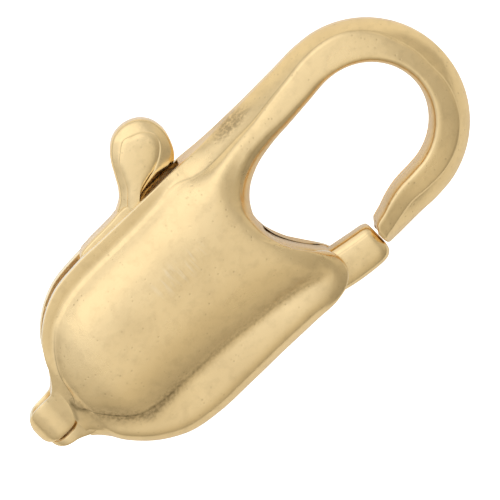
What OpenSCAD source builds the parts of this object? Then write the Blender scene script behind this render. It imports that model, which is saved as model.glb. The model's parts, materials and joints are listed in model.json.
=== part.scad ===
/* [Overall] */
// Length from the end of the tail eye to the crown of the hook
clasp_len = 15; // [14:0.25:18]
// Width of the body and of the hook
body_w = 5.56; // [5.2:0.1:6.4]
// Distance from the tail end to the throat, where the opening of the hook starts
throat_x = 8.22; // [7.8:0.1:8.8]

/* [Cheeks] */
// Thickness over the two domes
dome_t = 3.4; // [3.1:0.1:4]
// Thickness over the two rims of the slot
rim_t = 2.1; // [1.9:0.05:2.4]
// Sheet thickness of the cheeks
wall = 0.5; // [0.4:0.05:0.6]
// Thickness of the spine that joins the cheeks
spine_w = 0.385; // [0.3:0.005:0.45]
// Width of the slot between the cheeks
slot_w = 1.4; // [1.3:0.05:1.5]
// Height that the ledge beside the spine is crowned by
ledge_crown = 0.07; // [0:0.01:0.1]

/* [Hook] */
// Width of the hook's bar, seen from the front
bar_w = 1.16; // [0.9:0.02:1.3]
// Thickness of the hook's bar
bar_t = 1.8; // [1.4:0.1:2]
// Width of the bar at the hook's tip
tip_w = 0.82; // [0.7:0.02:0.9]
// Distance from the tail end to the face of the hook's tip
tip_x = 10.41; // [10:0.1:11]

/* [Tail eye] */
// Bore of the eye, for a jump ring
eye_bore = 0.84; // [0.7:0.02:1]
// Wall of the eye
eye_wall = 0.2; // [0.15:0.01:0.25]
// Width of the eye's front strap
eye_w = 1.0; // [0.8:0.05:1.2]
// How far the eye's back strap reaches past the front one
eye_step = 0.22; // [0.1:0.02:0.3]

/* [Lever] */
// Thickness of the lever's plate and gate
lever_t = 1.2; // [1:0.05:1.25]
// Distance from the tail end to the pivot
pivot_x = 5.86; // [5.6:0.1:6.2]
// Radius of the boss round the pivot
boss_r = 0.6; // [0.5:0.05:0.65]
// Gap between the gate's end and the hook's tip
tip_gap = 0.1; // [0.08:0.01:0.2]
// Height that the knob stands above the slot's edge
knob_h = 1.76; // [1.5:0.1:2.4]
// Length of the knob along the body
knob_len = 2.3; // [2:0.1:2.5]
// Thickness of the knob
knob_t = 1.3; // [1:0.05:1.35]
// Length of the lever's shoulder, from the knob's neck toward the tail
shoulder_len = 1.85; // [1.6:0.05:2]
// Height of the shoulder over the slot's edge
shoulder_h = 0.14; // [0.08:0.02:0.2]

/* [Pin and spring] */
// Diameter of the pivot pin
pin_d = 0.5; // [0.4:0.02:0.6]
// Radial clearance of the lever on the pin
pin_gap = 0.04; // [0.02:0.01:0.06]
// Thickness of the spring strip
strip_t = 0.14; // [0.1:0.01:0.18]
// Width of the spring strip
strip_w = 1.0; // [0.8:0.05:1.2]
// Radius of the spring's bend
bend_r = 0.85; // [0.7:0.05:0.95]

/* [Hidden] */

// Clearance between the lever and what it passes
run_gap = 0.06;
// Clearance of the pin in its blind sockets in the cheeks, and of the spring on the spine
seat_gap = 0.01;
// Clearance between the knob's neck and the hook's solid root
neck_gap = 0.2;
// Depth of a socket, as a share of the metal between the slot and the rim's face
socket_share = 0.6;
// Fineness of the round bores, pins and bosses
$fn = 48;

half_w = body_w / 2;
rim_z = rim_t / 2;
bar_z = bar_t / 2;
slot_z = slot_w / 2;
dome_rise = (dome_t - rim_t) / 2;
eye_r = eye_bore / 2 + eye_wall;
eye_top = 0.215 * half_w;
// The cheeks start inside the far wall of the eye
neck_x = 1.37 * eye_r;
body_l = throat_x - neck_x;

// How the dome ends beside the ledge, and where it rounds off into the throat: 1 is a gentle slope and small
// values are a steep flank
dome_edge = 0.9;
throat_edge = 0.5;
// Outline and height of the cheeks, one row for each section from the tail to the root of the hook.
// slot_x and back_x are shares of body_l from neck_x; slot_y and back_y are shares of half_w.
// lip and crease are shares of the section's length, measured from its slot side: the dome lies between them.
// base is a share of rim_z and rise a share of dome_rise. turn is how far the back part of the section has turned
// from the ledge, 0, into the throat's rounded edge, 1. edge is the height of the back edge as a share of the base
// height. sweep is how late the section swings toward its back end: 1 is a straight section.
//   slot_x, slot_y, back_x, back_y, lip,   crease, base, rise, turn, edge, sweep
CHEEK = [
    [ 0.000,  0.225,  0.000, -0.300, 0.100, 0.900, 0.56, 0.00, 1.00, 0.60, 1.0],
    [ 0.041,  0.268,  0.041, -0.345, 0.250, 0.700, 0.64, 0.00, 0.65, 0.55, 1.0],
    [ 0.075,  0.378,  0.072, -0.432, 0.300, 0.520, 0.82, 0.10, 0.30, 0.50, 1.0],
    [ 0.104,  0.524,  0.104, -0.560, 0.180, 0.650, 0.95, 0.34, 0.00, 0.50, 1.0],
    [ 0.136,  0.647,  0.142, -0.675, 0.120, 0.730, 0.98, 0.48, 0.00, 0.50, 1.0],
    [ 0.204,  0.806,  0.204, -0.812, 0.085, 0.800, 1.00, 0.66, 0.00, 0.50, 1.0],
    [ 0.292,  0.929,  0.292, -0.938, 0.075, 0.780, 1.00, 1.00, 0.00, 0.50, 1.0],
    [ 0.427,  0.986,  0.427, -1.006, 0.065, 0.763, 1.00, 1.00, 0.00, 0.50, 1.0],
    [ 0.590,  0.991,  0.590, -1.017, 0.058, 0.764, 1.00, 1.00, 0.00, 0.50, 1.0],
    [ 0.744,  0.991,  0.780, -1.017, 0.055, 0.784, 1.00, 1.00, 0.00, 0.50, 1.0],
    [ 0.828,  0.991,  0.929, -1.017, 0.055, 0.800, 1.00, 1.00, 0.00, 0.65, 1.3],
    [ 0.855,  0.991,  1.024, -1.017, 0.060, 0.825, 1.00, 1.00, 0.22, 0.92, 1.8],
    [ 0.872,  0.991,  1.079, -0.978, 0.065, 0.860, 1.00, 1.00, 0.40, 0.94, 2.3],
    [ 0.887,  0.991,  1.117, -0.890, 0.070, 0.900, 1.00, 1.00, 0.66, 0.95, 2.7],
    [ 0.900,  0.991,  1.132, -0.760, 0.075, 0.930, 1.00, 1.00, 0.83, 0.96, 3.0],
    [ 0.910,  0.990,  1.117, -0.620, 0.080, 0.940, 1.00, 1.00, 1.00, 0.96, 3.0],
    [ 0.919,  0.989,  1.076, -0.500, 0.085, 0.950, 1.00, 1.00, 1.00, 0.96, 2.9],
    [ 0.927,  0.988,  1.040, -0.370, 0.090, 0.950, 0.99, 0.88, 1.00, 0.96, 2.3],
    [ 0.935,  0.986,  1.011, -0.215, 0.100, 0.950, 0.98, 0.76, 1.00, 0.96, 1.6],
    [ 0.943,  0.984,  1.000, -0.060, 0.115, 0.950, 0.98, 0.66, 1.00, 0.96, 1.0],
    [ 0.984,  0.980,  1.003,  0.080, 0.180, 0.950, 0.98, 0.52, 1.00, 0.90, 1.0],
    [ 1.029,  0.974,  1.028,  0.216, 0.250, 0.950, 0.95, 0.40, 1.00, 0.80, 1.0],
    [ 1.090,  0.972,  1.072,  0.335, 0.310, 0.950, 0.92, 0.28, 1.00, 0.60, 1.0],
    [ 1.160,  0.974,  1.143,  0.434, 0.350, 0.950, 0.90, 0.14, 1.00, 0.40, 1.0],
    [ 1.245,  0.978,  1.240,  0.492, 0.370, 0.950, 0.88, 0.00, 1.00, 0.30, 1.0]
];
// Rows of CHEEK at which the slot starts, the spine ends and the hook's solid root starts
SLOT_ROW = 2;
SPINE_ROW = 11;
ROOT_ROW = 19;
// Row of CHEEK at which the spring's leg starts on the spine
SEAT_ROW = 7;
// How much of the bar's own section each row takes from the root row on
BLEND = [0, 0.2, 0.42, 0.64, 0.85, 1];

// Section of the hook's bar: share of its width from the outer side, share of bar_z
BAR = [
    [0.00, 0.28], [0.07, 0.52], [0.16, 0.70], [0.24, 0.80], [0.32, 0.88], [0.40, 0.93],
    [0.48, 0.96], [0.56, 0.98], [0.64, 0.99], [0.72, 1.00], [0.79, 1.00], [0.85, 0.98],
    [0.90, 0.93], [0.94, 0.84], [0.97, 0.71], [0.99, 0.54], [1.00, 0.30]
];
// Columns across a section, and the one where the inside of the spine lies
COLS = 17;
INNER = 13;
// Places of the columns across the dome, from the lip to the crease
DOME = [0, 0.07, 0.2, 0.35, 0.5, 0.68, 0.85, 0.96, 1];
// Places of the columns across the ledge, from the crease to the inside of the spine
LEDGE = [0.2, 0.5, 1];
// Rounding of the spine, from its inside to its outside: share of its width, share of the drop to the edge
ROUND = [[0, 0], [0.55, 0.22], [0.86, 0.6], [1, 1]];

// Straight arms of the hook: share of the way from the last cheek row to the bend
ARM = [0.33, 0.67, 1];
// Steps of the bend from the upper arm to the lower one
BEND_STEPS = 14;
// Lower arm, from the bend to the tip: share of the way, share of the bar's narrowing, and the outer side's inset
// as a share of bar_w
TAPER = [[0.35, 0.08, 0.06], [0.62, 0.42, 0.03], [0.82, 0.78, 0], [0.95, 0.93, 0], [1, 1, 0]];
// How far the tip's face leans back at its inner side
tip_lean = 0.13;

bend_x = clasp_len - half_w;
inner_r = half_w - bar_w;
// The opening lies a little off the hook's middle, so the upper arm is the wider one
inner_y = -0.05 * bar_w;

function mix(a, b, t) = a + (b - a) * t;

// Two ends of a section, slot side then back side
function cheek_ends(r) = [
    [neck_x + r[0] * body_l, r[1] * half_w],
    [neck_x + r[2] * body_l, r[3] * half_w]
];
last_ends = cheek_ends(CHEEK[len(CHEEK) - 1]);
arm_ends = [
    for (t = ARM) [
        [mix(last_ends[0][0], bend_x, t), mix(last_ends[0][1], half_w, t)],
        [mix(last_ends[1][0], bend_x, t), mix(last_ends[1][1], inner_y + inner_r, t)]
    ]
];
bend_ends = [
    for (k = [1 : BEND_STEPS])
        let (a = 90 - 180 * k / BEND_STEPS)
        [
            [bend_x + half_w * cos(a), half_w * sin(a)],
            [bend_x + inner_r * cos(a), inner_y + inner_r * sin(a)]
        ]
];
taper_ends = [
    for (t = TAPER) [
        [mix(bend_x, tip_x, t[0]), t[2] * bar_w - half_w],
        [mix(bend_x, tip_x + tip_lean, t[0]), inner_y - inner_r - (bar_w - tip_w) * t[1]]
    ]
];
bar_ends = concat(arm_ends, bend_ends, taper_ends);

// Share of the dome's width over which its top is flat, so that the clasp lies still
plateau = 0.36;
// How the dome falls away from its flat top: 1 is a straight flank and 2 is a round one
fall = 1.2;
// Height of a cheek's surface at share u of the way across its dome
function dome_z(r, u) =
    let (out = max(abs(2 * u - 1) - plateau, 0) / (1 - plateau))
    dome_rise * r[7] * pow(1 - pow(out, fall), u < 0.5 ? dome_edge : mix(dome_edge, throat_edge, r[8]));

// Crown of the ledge at share s of the way across it, gone where the ledge is
function crown(r, s) = ledge_crown * (1 - 3 * pow(s - 0.5, 2)) * (1 - r[8]);
// Columns of a cheek section: [share of its length, height]
function cheek_cols(r, length) =
    let (
        base = r[6] * rim_z,
        crease = r[5],
        inside = max(1 - spine_w / length, crease + 0.2 * (1 - crease)),
        edge = base * r[9]
    )
    concat(
        [[0, base], [0.45 * r[4], base * 0.985]],
        [for (u = DOME) [mix(r[4], crease, u), base + dome_z(r, u)]],
        [for (s = LEDGE) [mix(crease, inside, s), base + crown(r, s)]],
        [for (k = [1 : 3]) [mix(inside, 1, ROUND[k][0]), mix(base, edge, ROUND[k][1])]]
    );

// Points of one section of the body's front face
function section(ends, cols, sweep) = [
    for (c = cols) [mix(ends[0][0], ends[1][0], pow(c[0], sweep)), mix(ends[0][1], ends[1][1], c[0]), c[1]]
];
bar_cols = [for (c = BAR) [c[0], c[1] * bar_z]];
function blend_of(i) = i < ROOT_ROW ? 0 : BLEND[i - ROOT_ROW];
cheek_sections = [
    for (i = [0 : len(CHEEK) - 1])
        let (
            ends = cheek_ends(CHEEK[i]),
            cols = cheek_cols(CHEEK[i], norm(ends[1] - ends[0])),
            w = blend_of(i)
        )
        section(ends, [for (j = [0 : COLS - 1]) mix(cols[j], bar_cols[j], w)], CHEEK[i][10])
];
front = concat(cheek_sections, [for (e = bar_ends) section(e, bar_cols, 1)]);
ROWS = len(front);
inner_rows = ROOT_ROW - SLOT_ROW + 1;

// Height of the cavity under a point of the front face
function inner_z(z) = min(max(z - wall, slot_z), z - 0.6 * wall);
inner = [
    for (i = [SLOT_ROW : ROOT_ROW]) [for (p = front[i]) [p[0], p[1], inner_z(p[2])]]
];

function flat(rows, side) = [for (r = rows) for (p = r) [p[0], p[1], side * p[2]]];

// Numbers of the points: outer front, outer back, inner front, inner back
function of(i, j) = i * COLS + j;
function ob(i, j) = ROWS * COLS + of(i, j);
function nf(i, j) = 2 * ROWS * COLS + (i - SLOT_ROW) * COLS + j;
function nb(i, j) = nf(i, j) + inner_rows * COLS;

// A four-sided patch as two triangles
function quad(a, b, c, d) = [[a, b, c], [a, c, d]];
function joined(lists) = [for (l = lists) for (f = l) f];
function is_open(i) = i >= SLOT_ROW && i < ROOT_ROW;
function last_col(i) = i < SPINE_ROW ? INNER : COLS - 1;

outer_faces = joined([
    for (i = [0 : ROWS - 2]) for (j = [0 : COLS - 2]) concat(
        quad(of(i, j), of(i + 1, j), of(i + 1, j + 1), of(i, j + 1)),
        quad(ob(i, j), ob(i, j + 1), ob(i + 1, j + 1), ob(i + 1, j))
    )
]);
inner_faces = joined([
    for (i = [SLOT_ROW : ROOT_ROW - 1]) for (j = [0 : last_col(i) - 1]) concat(
        quad(nf(i, j), nf(i, j + 1), nf(i + 1, j + 1), nf(i + 1, j)),
        quad(nb(i, j), nb(i + 1, j), nb(i + 1, j + 1), nb(i, j + 1))
    )
]);
// Rims of the two cheeks along the slot, and along the throat from the end of the spine
function rim(i, j) = concat(
    quad(of(i, j), nf(i, j), nf(i + 1, j), of(i + 1, j)),
    quad(ob(i, j), ob(i + 1, j), nb(i + 1, j), nb(i, j))
);
function turned(faces) = [for (f = faces) [f[0], f[2], f[1]]];
rim_faces = joined([
    for (i = [SLOT_ROW : ROOT_ROW - 1]) concat(rim(i, 0), i < SPINE_ROW ? [] : turned(rim(i, COLS - 1)))
]);
// Walls that join the front to the back. Next to an opening they also meet the corners of its rims.
function wall_side(i, j, before, after) =
    let (
        near = before ? [of(i, j), nf(i, j), nb(i, j), ob(i, j)] : [of(i, j), ob(i, j)],
        far = after ? [ob(i + 1, j), nb(i + 1, j), nf(i + 1, j), of(i + 1, j)] : [ob(i + 1, j), of(i + 1, j)],
        ring = before ? concat(far, near) : concat(near, far)
    )
    [for (k = [1 : len(ring) - 2]) [ring[0], ring[k], ring[k + 1]]];
slot_walls = joined([
    for (i = [0 : ROWS - 2]) if (!is_open(i)) wall_side(i, 0, i == ROOT_ROW, i == SLOT_ROW - 1)
]);
back_walls = joined([
    for (i = [0 : ROWS - 2]) if (i < SPINE_ROW || i >= ROOT_ROW)
        turned(wall_side(i, COLS - 1, i == ROOT_ROW, i == SPINE_ROW - 1))
]);
// End walls of the cavity, the inside of the spine, and the two ends of the whole body
function across(i, j) = quad(nf(i, j), nf(i, j + 1), nb(i, j + 1), nb(i, j));
function cap(i, j) = quad(of(i, j), of(i, j + 1), ob(i, j + 1), ob(i, j));
function spine_inside(i) = quad(nf(i, INNER), nb(i, INNER), nb(i + 1, INNER), nf(i + 1, INNER));
end_faces = joined(concat(
    [for (j = [0 : INNER - 1]) turned(across(SLOT_ROW, j))],
    [for (j = [0 : COLS - 2]) across(ROOT_ROW, j)],
    [for (j = [INNER : COLS - 2]) turned(across(SPINE_ROW, j))],
    [for (i = [SLOT_ROW : SPINE_ROW - 1]) spine_inside(i)],
    [for (j = [0 : COLS - 2]) cap(0, j)],
    [for (j = [0 : COLS - 2]) turned(cap(ROWS - 1, j))]
));

// The pivot lies as low as its boss can turn inside the spine
spine_in = CHEEK[SPINE_ROW][3] * half_w + spine_w;
pivot_y = spine_in + run_gap + boss_r;
pin_end = mix(slot_z, rim_z, socket_share);

// The origin is the middle of the tail eye
module in_frame() {
    translate([-eye_r, 0, 0])
        children();
}

module shell() {
    polyhedron(
        points = concat(flat(front, 1), flat(front, -1), flat(inner, 1), flat(inner, -1)),
        faces = concat(outer_faces, inner_faces, rim_faces, slot_walls, back_walls, end_faces)
    );
}

// One strap of the eye, seen from the front, with its outer corners rounded. It widens toward the neck.
module strap(low, thickness) {
    corner = 0.3;
    linear_extrude(thickness)
        polygon(concat(
            [for (a = [90 : 15 : 180]) [corner + corner * cos(a), eye_top - corner + corner * sin(a)]],
            [for (a = [180 : 15 : 255]) [corner + corner * cos(a), low + corner + corner * sin(a)]],
            [[2 * eye_r, low - 0.3 * eye_r], [2 * eye_r, eye_top]]
        ));
}

module eye() {
    intersection() {
        translate([eye_r, 0, 0])
            rotate([90, 0, 0])
                cylinder(r = eye_r, h = 2 * body_w, center = true);
        union() {
            strap(eye_top - eye_w, eye_r);
            translate([0, 0, -eye_r])
                strap(eye_top - eye_w - eye_step, eye_r);
        }
    }
}

module hook_body() {
    color([0.86, 0.74, 0.52])
        in_frame()
        difference() {
            union() {
                shell();
                eye();
            }
            translate([eye_r, 0, 0])
                rotate([90, 0, 0])
                    cylinder(d = eye_bore, h = body_w, center = true);
            translate([pivot_x, pivot_y, 0])
                cylinder(d = pin_d + 2 * seat_gap, h = 2 * (pin_end + seat_gap), center = true);
        }
}

module pivot_pin() {
    color([0.62, 0.5, 0.32])
        in_frame()
        translate([pivot_x, pivot_y, 0])
            cylinder(d = pin_d, h = 2 * pin_end, center = true);
}

slot_y = CHEEK[ROOT_ROW][1] * half_w;
spine_end_x = neck_x + CHEEK[SPINE_ROW][2] * body_l;
root_x = neck_x + CHEEK[ROOT_ROW][0] * body_l;
// The knob's neck, between its left and right sides, clear of the hook's solid root
neck_r = root_x - neck_gap;
neck_l = neck_r - 0.755 * knob_len;
// The gate, from the end of the spine to the hook's tip
gate_x = tip_x - tip_gap;
gate_in = spine_end_x + run_gap;
gate_len = gate_x - gate_in;
tongue_x = gate_in - 0.22 * gate_len;
lever_low = spine_in + run_gap;

// Plate inside the body, from the boss round the shoulder and the neck to the root of the gate
PLATE = [
    [pivot_x, lever_low],
    [pivot_x - boss_r, pivot_y],
    [neck_l - shoulder_len, 0.89 * slot_y],
    [neck_l - 0.92 * shoulder_len, slot_y],
    [neck_l - 0.7 * shoulder_len, slot_y + 0.7 * shoulder_h],
    [neck_l, slot_y + shoulder_h],
    [neck_r - 0.04 * knob_len, slot_y + shoulder_h],
    [neck_r, slot_y],
    [neck_r - 0.07 * knob_len, 0.54 * half_w],
    [neck_r - 0.22 * knob_len, 0.1 * half_w],
    [neck_r - 0.26 * knob_len, -0.2 * half_w],
    [neck_r - 0.13 * knob_len, -0.42 * half_w],
    [gate_in - 0.27 * gate_len, -0.53 * half_w],
    [gate_in, -0.6 * half_w],
    [gate_in, lever_low]
];
// Outline of the gate, with a tongue that runs into the plate
GATE = [
    [tongue_x, -0.575 * half_w],
    [gate_in + 0.33 * gate_len, -0.63 * half_w],
    [gate_x - 0.17 * gate_len, -0.712 * half_w],
    [gate_x, -0.8 * half_w],
    [gate_x, -0.98 * half_w],
    [gate_x - 0.18 * gate_len, -1.085 * half_w],
    [gate_x - 0.27 * gate_len, -1.1 * half_w],
    [gate_in + 0.05 * gate_len, -1.03 * half_w],
    [gate_in, -1.01 * half_w],
    [gate_in, lever_low],
    [tongue_x, lever_low]
];
// Axis and radius of the round bar that the gate is cut from
gate_mid = -0.86 * half_w;
gate_round = 0.27 * half_w;

// Knob from its neck to its top: share of knob_h, then its left and right sides as shares of knob_len, thickness
KNOB = [
    [-0.10, 0.02, 0.72, 0.95],
    [ 0.07, 0.00, 0.80, 0.97],
    [ 0.21, 0.03, 0.90, 1.00],
    [ 0.37, 0.12, 0.96, 1.00],
    [ 0.55, 0.22, 1.00, 0.98],
    [ 0.73, 0.31, 0.96, 0.88],
    [ 0.87, 0.40, 0.88, 0.68],
    [ 0.96, 0.50, 0.78, 0.42],
    [ 1.00, 0.60, 0.68, 0.15]
];
SIDES = 20;
// Squareness of the knob's sections: 2 is an ellipse
squareness = 2.4;
function squared(t) = sign(t) * pow(abs(t), 2 / squareness);
knob_points = [
    for (r = KNOB) for (k = [0 : SIDES - 1])
        let (
            a = 360 * k / SIDES,
            x0 = neck_l + r[1] * knob_len,
            x1 = neck_l + r[2] * knob_len
        )
        [
            (x0 + x1) / 2 + (x1 - x0) / 2 * squared(cos(a)),
            slot_y + r[0] * knob_h,
            knob_t / 2 * r[3] * squared(sin(a))
        ]
];
knob_faces = concat(
    joined([
        for (i = [0 : len(KNOB) - 2]) for (k = [0 : SIDES - 1])
            let (n = (k + 1) % SIDES, a = i * SIDES, b = a + SIDES)
            quad(a + k, a + n, b + n, b + k)
    ]),
    [[for (k = [SIDES - 1 : -1 : 0]) k]],
    [[for (k = [0 : SIDES - 1]) (len(KNOB) - 1) * SIDES + k]]
);

module plate(outline) {
    translate([0, 0, -lever_t / 2])
        linear_extrude(lever_t)
            polygon(outline);
}

module gate() {
    intersection() {
        plate(GATE);
        translate([tongue_x, gate_mid, 0])
            rotate([0, 90, 0])
                cylinder(r = gate_round, h = 2 * gate_len);
    }
}

module thumb_lever() {
    color([0.8, 0.68, 0.46])
        in_frame()
        difference() {
            union() {
                plate(PLATE);
                gate();
                translate([pivot_x, pivot_y, -lever_t / 2])
                    cylinder(r = boss_r, h = lever_t);
                polyhedron(points = knob_points, faces = knob_faces);
            }
            translate([pivot_x, pivot_y, 0])
                cylinder(d = pin_d + 2 * pin_gap, h = body_w, center = true);
        }
}

// Middle line of the spring: the leg that lies on the spine, the bend and the leg that bears on the lever
leg_y = CHEEK[SEAT_ROW][3] * half_w + spine_w + seat_gap + strip_t / 2;
bend_mid = [neck_x + CHEEK[SEAT_ROW][2] * body_l + 0.24 * bend_r, leg_y + bend_r];
bearing = mix(PLATE[1], PLATE[2], 0.43) - [run_gap + strip_t / 2, 0];
SPRING = concat(
    [[pivot_x - 1.5 * boss_r, leg_y]],
    [for (a = [270 : -15 : 135]) bend_mid + bend_r * [cos(a), sin(a)]],
    [bearing]
);

module spring() {
    n = len(SPRING) - 1;
    function side_way(k) =
        let (d = SPRING[min(k + 1, n)] - SPRING[max(k - 1, 0)])
        [-d[1], d[0]] / norm(d);
    color([0.7, 0.68, 0.62])
        in_frame()
        translate([0, 0, -strip_w / 2])
            linear_extrude(strip_w)
                polygon(concat(
                    [for (k = [0 : n]) SPRING[k] + strip_t / 2 * side_way(k)],
                    [for (k = [n : -1 : 0]) SPRING[k] - strip_t / 2 * side_way(k)]
                ));
}

hook_body();
thumb_lever();
pivot_pin();
spring();
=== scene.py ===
"""Lobster clasp of polished pale gold, lying on a white table.

Lengths in the tables and functions are millimetres in the frame of the CAD part, whose origin is the
middle of the tail eye. They become metres where a mesh is made.
"""
import json
import math
from collections import namedtuple

import bmesh
import bpy
import numpy as np
from bpy.props import FloatProperty, FloatVectorProperty, PointerProperty
from mathutils import Matrix, Vector


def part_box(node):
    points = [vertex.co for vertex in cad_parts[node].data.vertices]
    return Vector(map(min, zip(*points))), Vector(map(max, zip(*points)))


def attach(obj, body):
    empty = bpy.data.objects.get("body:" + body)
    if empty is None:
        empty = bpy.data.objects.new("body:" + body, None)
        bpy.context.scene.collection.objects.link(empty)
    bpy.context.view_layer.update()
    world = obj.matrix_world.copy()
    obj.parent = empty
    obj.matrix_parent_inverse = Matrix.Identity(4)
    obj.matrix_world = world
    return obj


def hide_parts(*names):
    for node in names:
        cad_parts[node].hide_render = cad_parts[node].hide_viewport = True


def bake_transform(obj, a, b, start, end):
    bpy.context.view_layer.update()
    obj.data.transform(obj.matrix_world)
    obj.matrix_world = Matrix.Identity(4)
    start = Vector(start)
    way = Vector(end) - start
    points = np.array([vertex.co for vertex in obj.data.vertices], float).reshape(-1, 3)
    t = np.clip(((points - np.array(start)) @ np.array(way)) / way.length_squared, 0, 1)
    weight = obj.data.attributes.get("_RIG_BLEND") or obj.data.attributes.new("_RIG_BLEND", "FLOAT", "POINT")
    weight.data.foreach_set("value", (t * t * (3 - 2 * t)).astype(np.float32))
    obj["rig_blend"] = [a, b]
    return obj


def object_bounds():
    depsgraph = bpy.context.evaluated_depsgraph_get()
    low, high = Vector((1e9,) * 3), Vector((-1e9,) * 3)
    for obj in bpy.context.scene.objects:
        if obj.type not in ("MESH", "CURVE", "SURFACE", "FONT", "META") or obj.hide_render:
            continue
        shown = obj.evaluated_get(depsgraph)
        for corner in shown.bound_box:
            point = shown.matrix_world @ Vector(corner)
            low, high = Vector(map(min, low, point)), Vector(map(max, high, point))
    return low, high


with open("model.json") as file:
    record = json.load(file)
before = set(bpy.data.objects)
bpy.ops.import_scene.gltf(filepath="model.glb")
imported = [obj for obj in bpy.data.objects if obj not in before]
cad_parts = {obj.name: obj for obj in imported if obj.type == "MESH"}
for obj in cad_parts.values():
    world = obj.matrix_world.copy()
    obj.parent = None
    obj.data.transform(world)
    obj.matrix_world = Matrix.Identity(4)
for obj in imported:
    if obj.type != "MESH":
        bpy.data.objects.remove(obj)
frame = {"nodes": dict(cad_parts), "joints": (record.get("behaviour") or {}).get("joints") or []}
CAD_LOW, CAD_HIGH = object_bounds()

bl_info = {
    "name": "Lobster Clasp",
    "version": (1, 0, 0),
    "blender": (4, 5, 0),
    "location": "3D View > Sidebar > Clasp",
    "description": "Builds a gold lobster clasp around its packed parts, with its stage",
    "category": "Add Mesh",
}

MM = 0.001


def box_mm(node):
    """Lowest and highest corner of a CAD node, in millimetres."""
    low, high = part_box(node)
    return low / MM, high / MM


# What the CAD part says: the boxes of its nodes and the place of its hinge
BODY_LOW, BODY_HIGH = box_mm("hook_body")
LEVER_HIGH = box_mm("thumb_lever")[1]
SPRING_LOW, SPRING_HIGH = box_mm("spring")
HINGE = next(j for j in frame["joints"] if j["name"] == "lever_hinge")
PIVOT_X = HINGE["pos_m"][0] / MM

# The clasp's own sizes: where its tail ends, its length, half its width and thickness, and the eye's radius
TAIL_X = BODY_LOW.x
CLASP_LEN = BODY_HIGH.x - BODY_LOW.x
HALF_W = BODY_HIGH.y
DOME_TOP = BODY_HIGH.z
EYE_R = -TAIL_X

# The cheeks, as shares of the clasp's length, of half its width and of the dome's height
THROAT_X = TAIL_X + 0.548 * CLASP_LEN
NECK_X = TAIL_X + 1.37 * EYE_R
BODY_L = THROAT_X - NECK_X
RIM_Z = 0.6176 * DOME_TOP
DOME_RISE = DOME_TOP - RIM_Z
SLOT_Z = 0.4118 * DOME_TOP
BAR_Z = 0.5294 * DOME_TOP
BAR_W = 0.4173 * HALF_W
TIP_W = 0.295 * HALF_W
TIP_X = TAIL_X + 0.694 * CLASP_LEN

# Outline and height of the cheeks, one row for each section from the tail to the root of the hook.
# slot_x and back_x are shares of BODY_L from NECK_X, slot_y and back_y are shares of HALF_W. lip and crease
# are shares of the section's length, and the dome lies between them. base is a share of RIM_Z, rise of
# DOME_RISE. turn is how far the back part has turned from the ledge, 0, into the throat's rounded edge, 1.
# edge is the height of the back edge as a share of the base, and sweep how late the section swings toward
# its back end.
CheekRow = namedtuple("CheekRow", "slot_x slot_y back_x back_y lip crease base rise turn edge sweep")
CHEEK = [CheekRow(*row) for row in (
    [0.028, 0.245, 0.028, -0.330, 0.300, 0.600, 0.70, 0.00, 1.00, 0.60, 1.0],
    [0.041, 0.268, 0.041, -0.358, 0.400, 0.450, 0.74, 0.00, 0.65, 0.55, 1.0],
    [0.075, 0.384, 0.072, -0.447, 0.414, 0.432, 0.86, 0.00, 0.30, 0.50, 1.0],
    [0.104, 0.535, 0.104, -0.575, 0.190, 0.645, 0.95, 0.19, 0.00, 0.50, 1.0],
    [0.136, 0.665, 0.142, -0.690, 0.135, 0.715, 0.98, 0.40, 0.00, 0.50, 1.0],
    [0.204, 0.826, 0.204, -0.830, 0.092, 0.778, 1.00, 0.68, 0.00, 0.50, 1.0],
    [0.292, 0.942, 0.292, -0.956, 0.084, 0.775, 1.00, 0.88, 0.00, 0.50, 1.0],
    [0.427, 0.993, 0.427, -1.022, 0.077, 0.763, 1.00, 0.97, 0.00, 0.50, 1.0],
    [0.560, 0.993, 0.580, -1.030, 0.074, 0.764, 1.00, 1.00, 0.02, 0.50, 1.0],
    [0.665, 0.991, 0.760, -1.030, 0.071, 0.782, 1.00, 1.00, 0.05, 0.50, 1.1],
    [0.745, 0.991, 0.915, -1.030, 0.066, 0.800, 1.00, 1.00, 0.08, 0.65, 1.3],
    [0.795, 0.991, 1.024, -1.020, 0.060, 0.825, 1.00, 1.00, 0.14, 0.92, 1.6],
    [0.828, 0.991, 1.079, -0.978, 0.055, 0.860, 1.00, 1.00, 0.22, 0.94, 1.9],
    [0.852, 0.991, 1.117, -0.890, 0.052, 0.900, 1.00, 1.00, 0.36, 0.95, 2.2],
    [0.871, 0.991, 1.132, -0.760, 0.056, 0.930, 1.00, 1.00, 0.54, 0.96, 2.4],
    [0.888, 0.990, 1.117, -0.620, 0.063, 0.940, 1.00, 1.00, 0.76, 0.96, 2.4],
    [0.903, 0.989, 1.076, -0.500, 0.074, 0.950, 1.00, 1.00, 0.94, 0.96, 2.3],
    [0.916, 0.988, 1.042, -0.370, 0.090, 0.950, 1.00, 1.00, 1.00, 0.96, 2.0],
    [0.929, 0.986, 1.014, -0.215, 0.116, 0.950, 1.00, 1.00, 1.00, 0.96, 1.5],
    [0.943, 0.984, 1.004, -0.060, 0.155, 0.950, 1.00, 1.00, 1.00, 0.96, 1.0],
    [0.984, 0.980, 1.007, 0.080, 0.200, 0.950, 0.98, 1.00, 1.00, 0.90, 1.0],
    [1.029, 0.974, 1.030, 0.216, 0.240, 0.950, 0.94, 1.00, 1.00, 0.80, 1.0],
    [1.090, 0.972, 1.072, 0.335, 0.285, 0.950, 0.88, 1.00, 1.00, 0.60, 1.0],
    [1.160, 0.974, 1.143, 0.434, 0.340, 0.950, 0.80, 1.00, 1.00, 0.40, 1.0],
    [1.245, 0.978, 1.240, 0.492, 0.365, 0.950, 0.72, 1.00, 1.00, 0.30, 1.0],
)]
# Rows of CHEEK at which the slot starts, the spine ends and the hook's solid root starts
SLOT_ROW, SPINE_ROW, ROOT_ROW = 2, 11, 19
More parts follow.
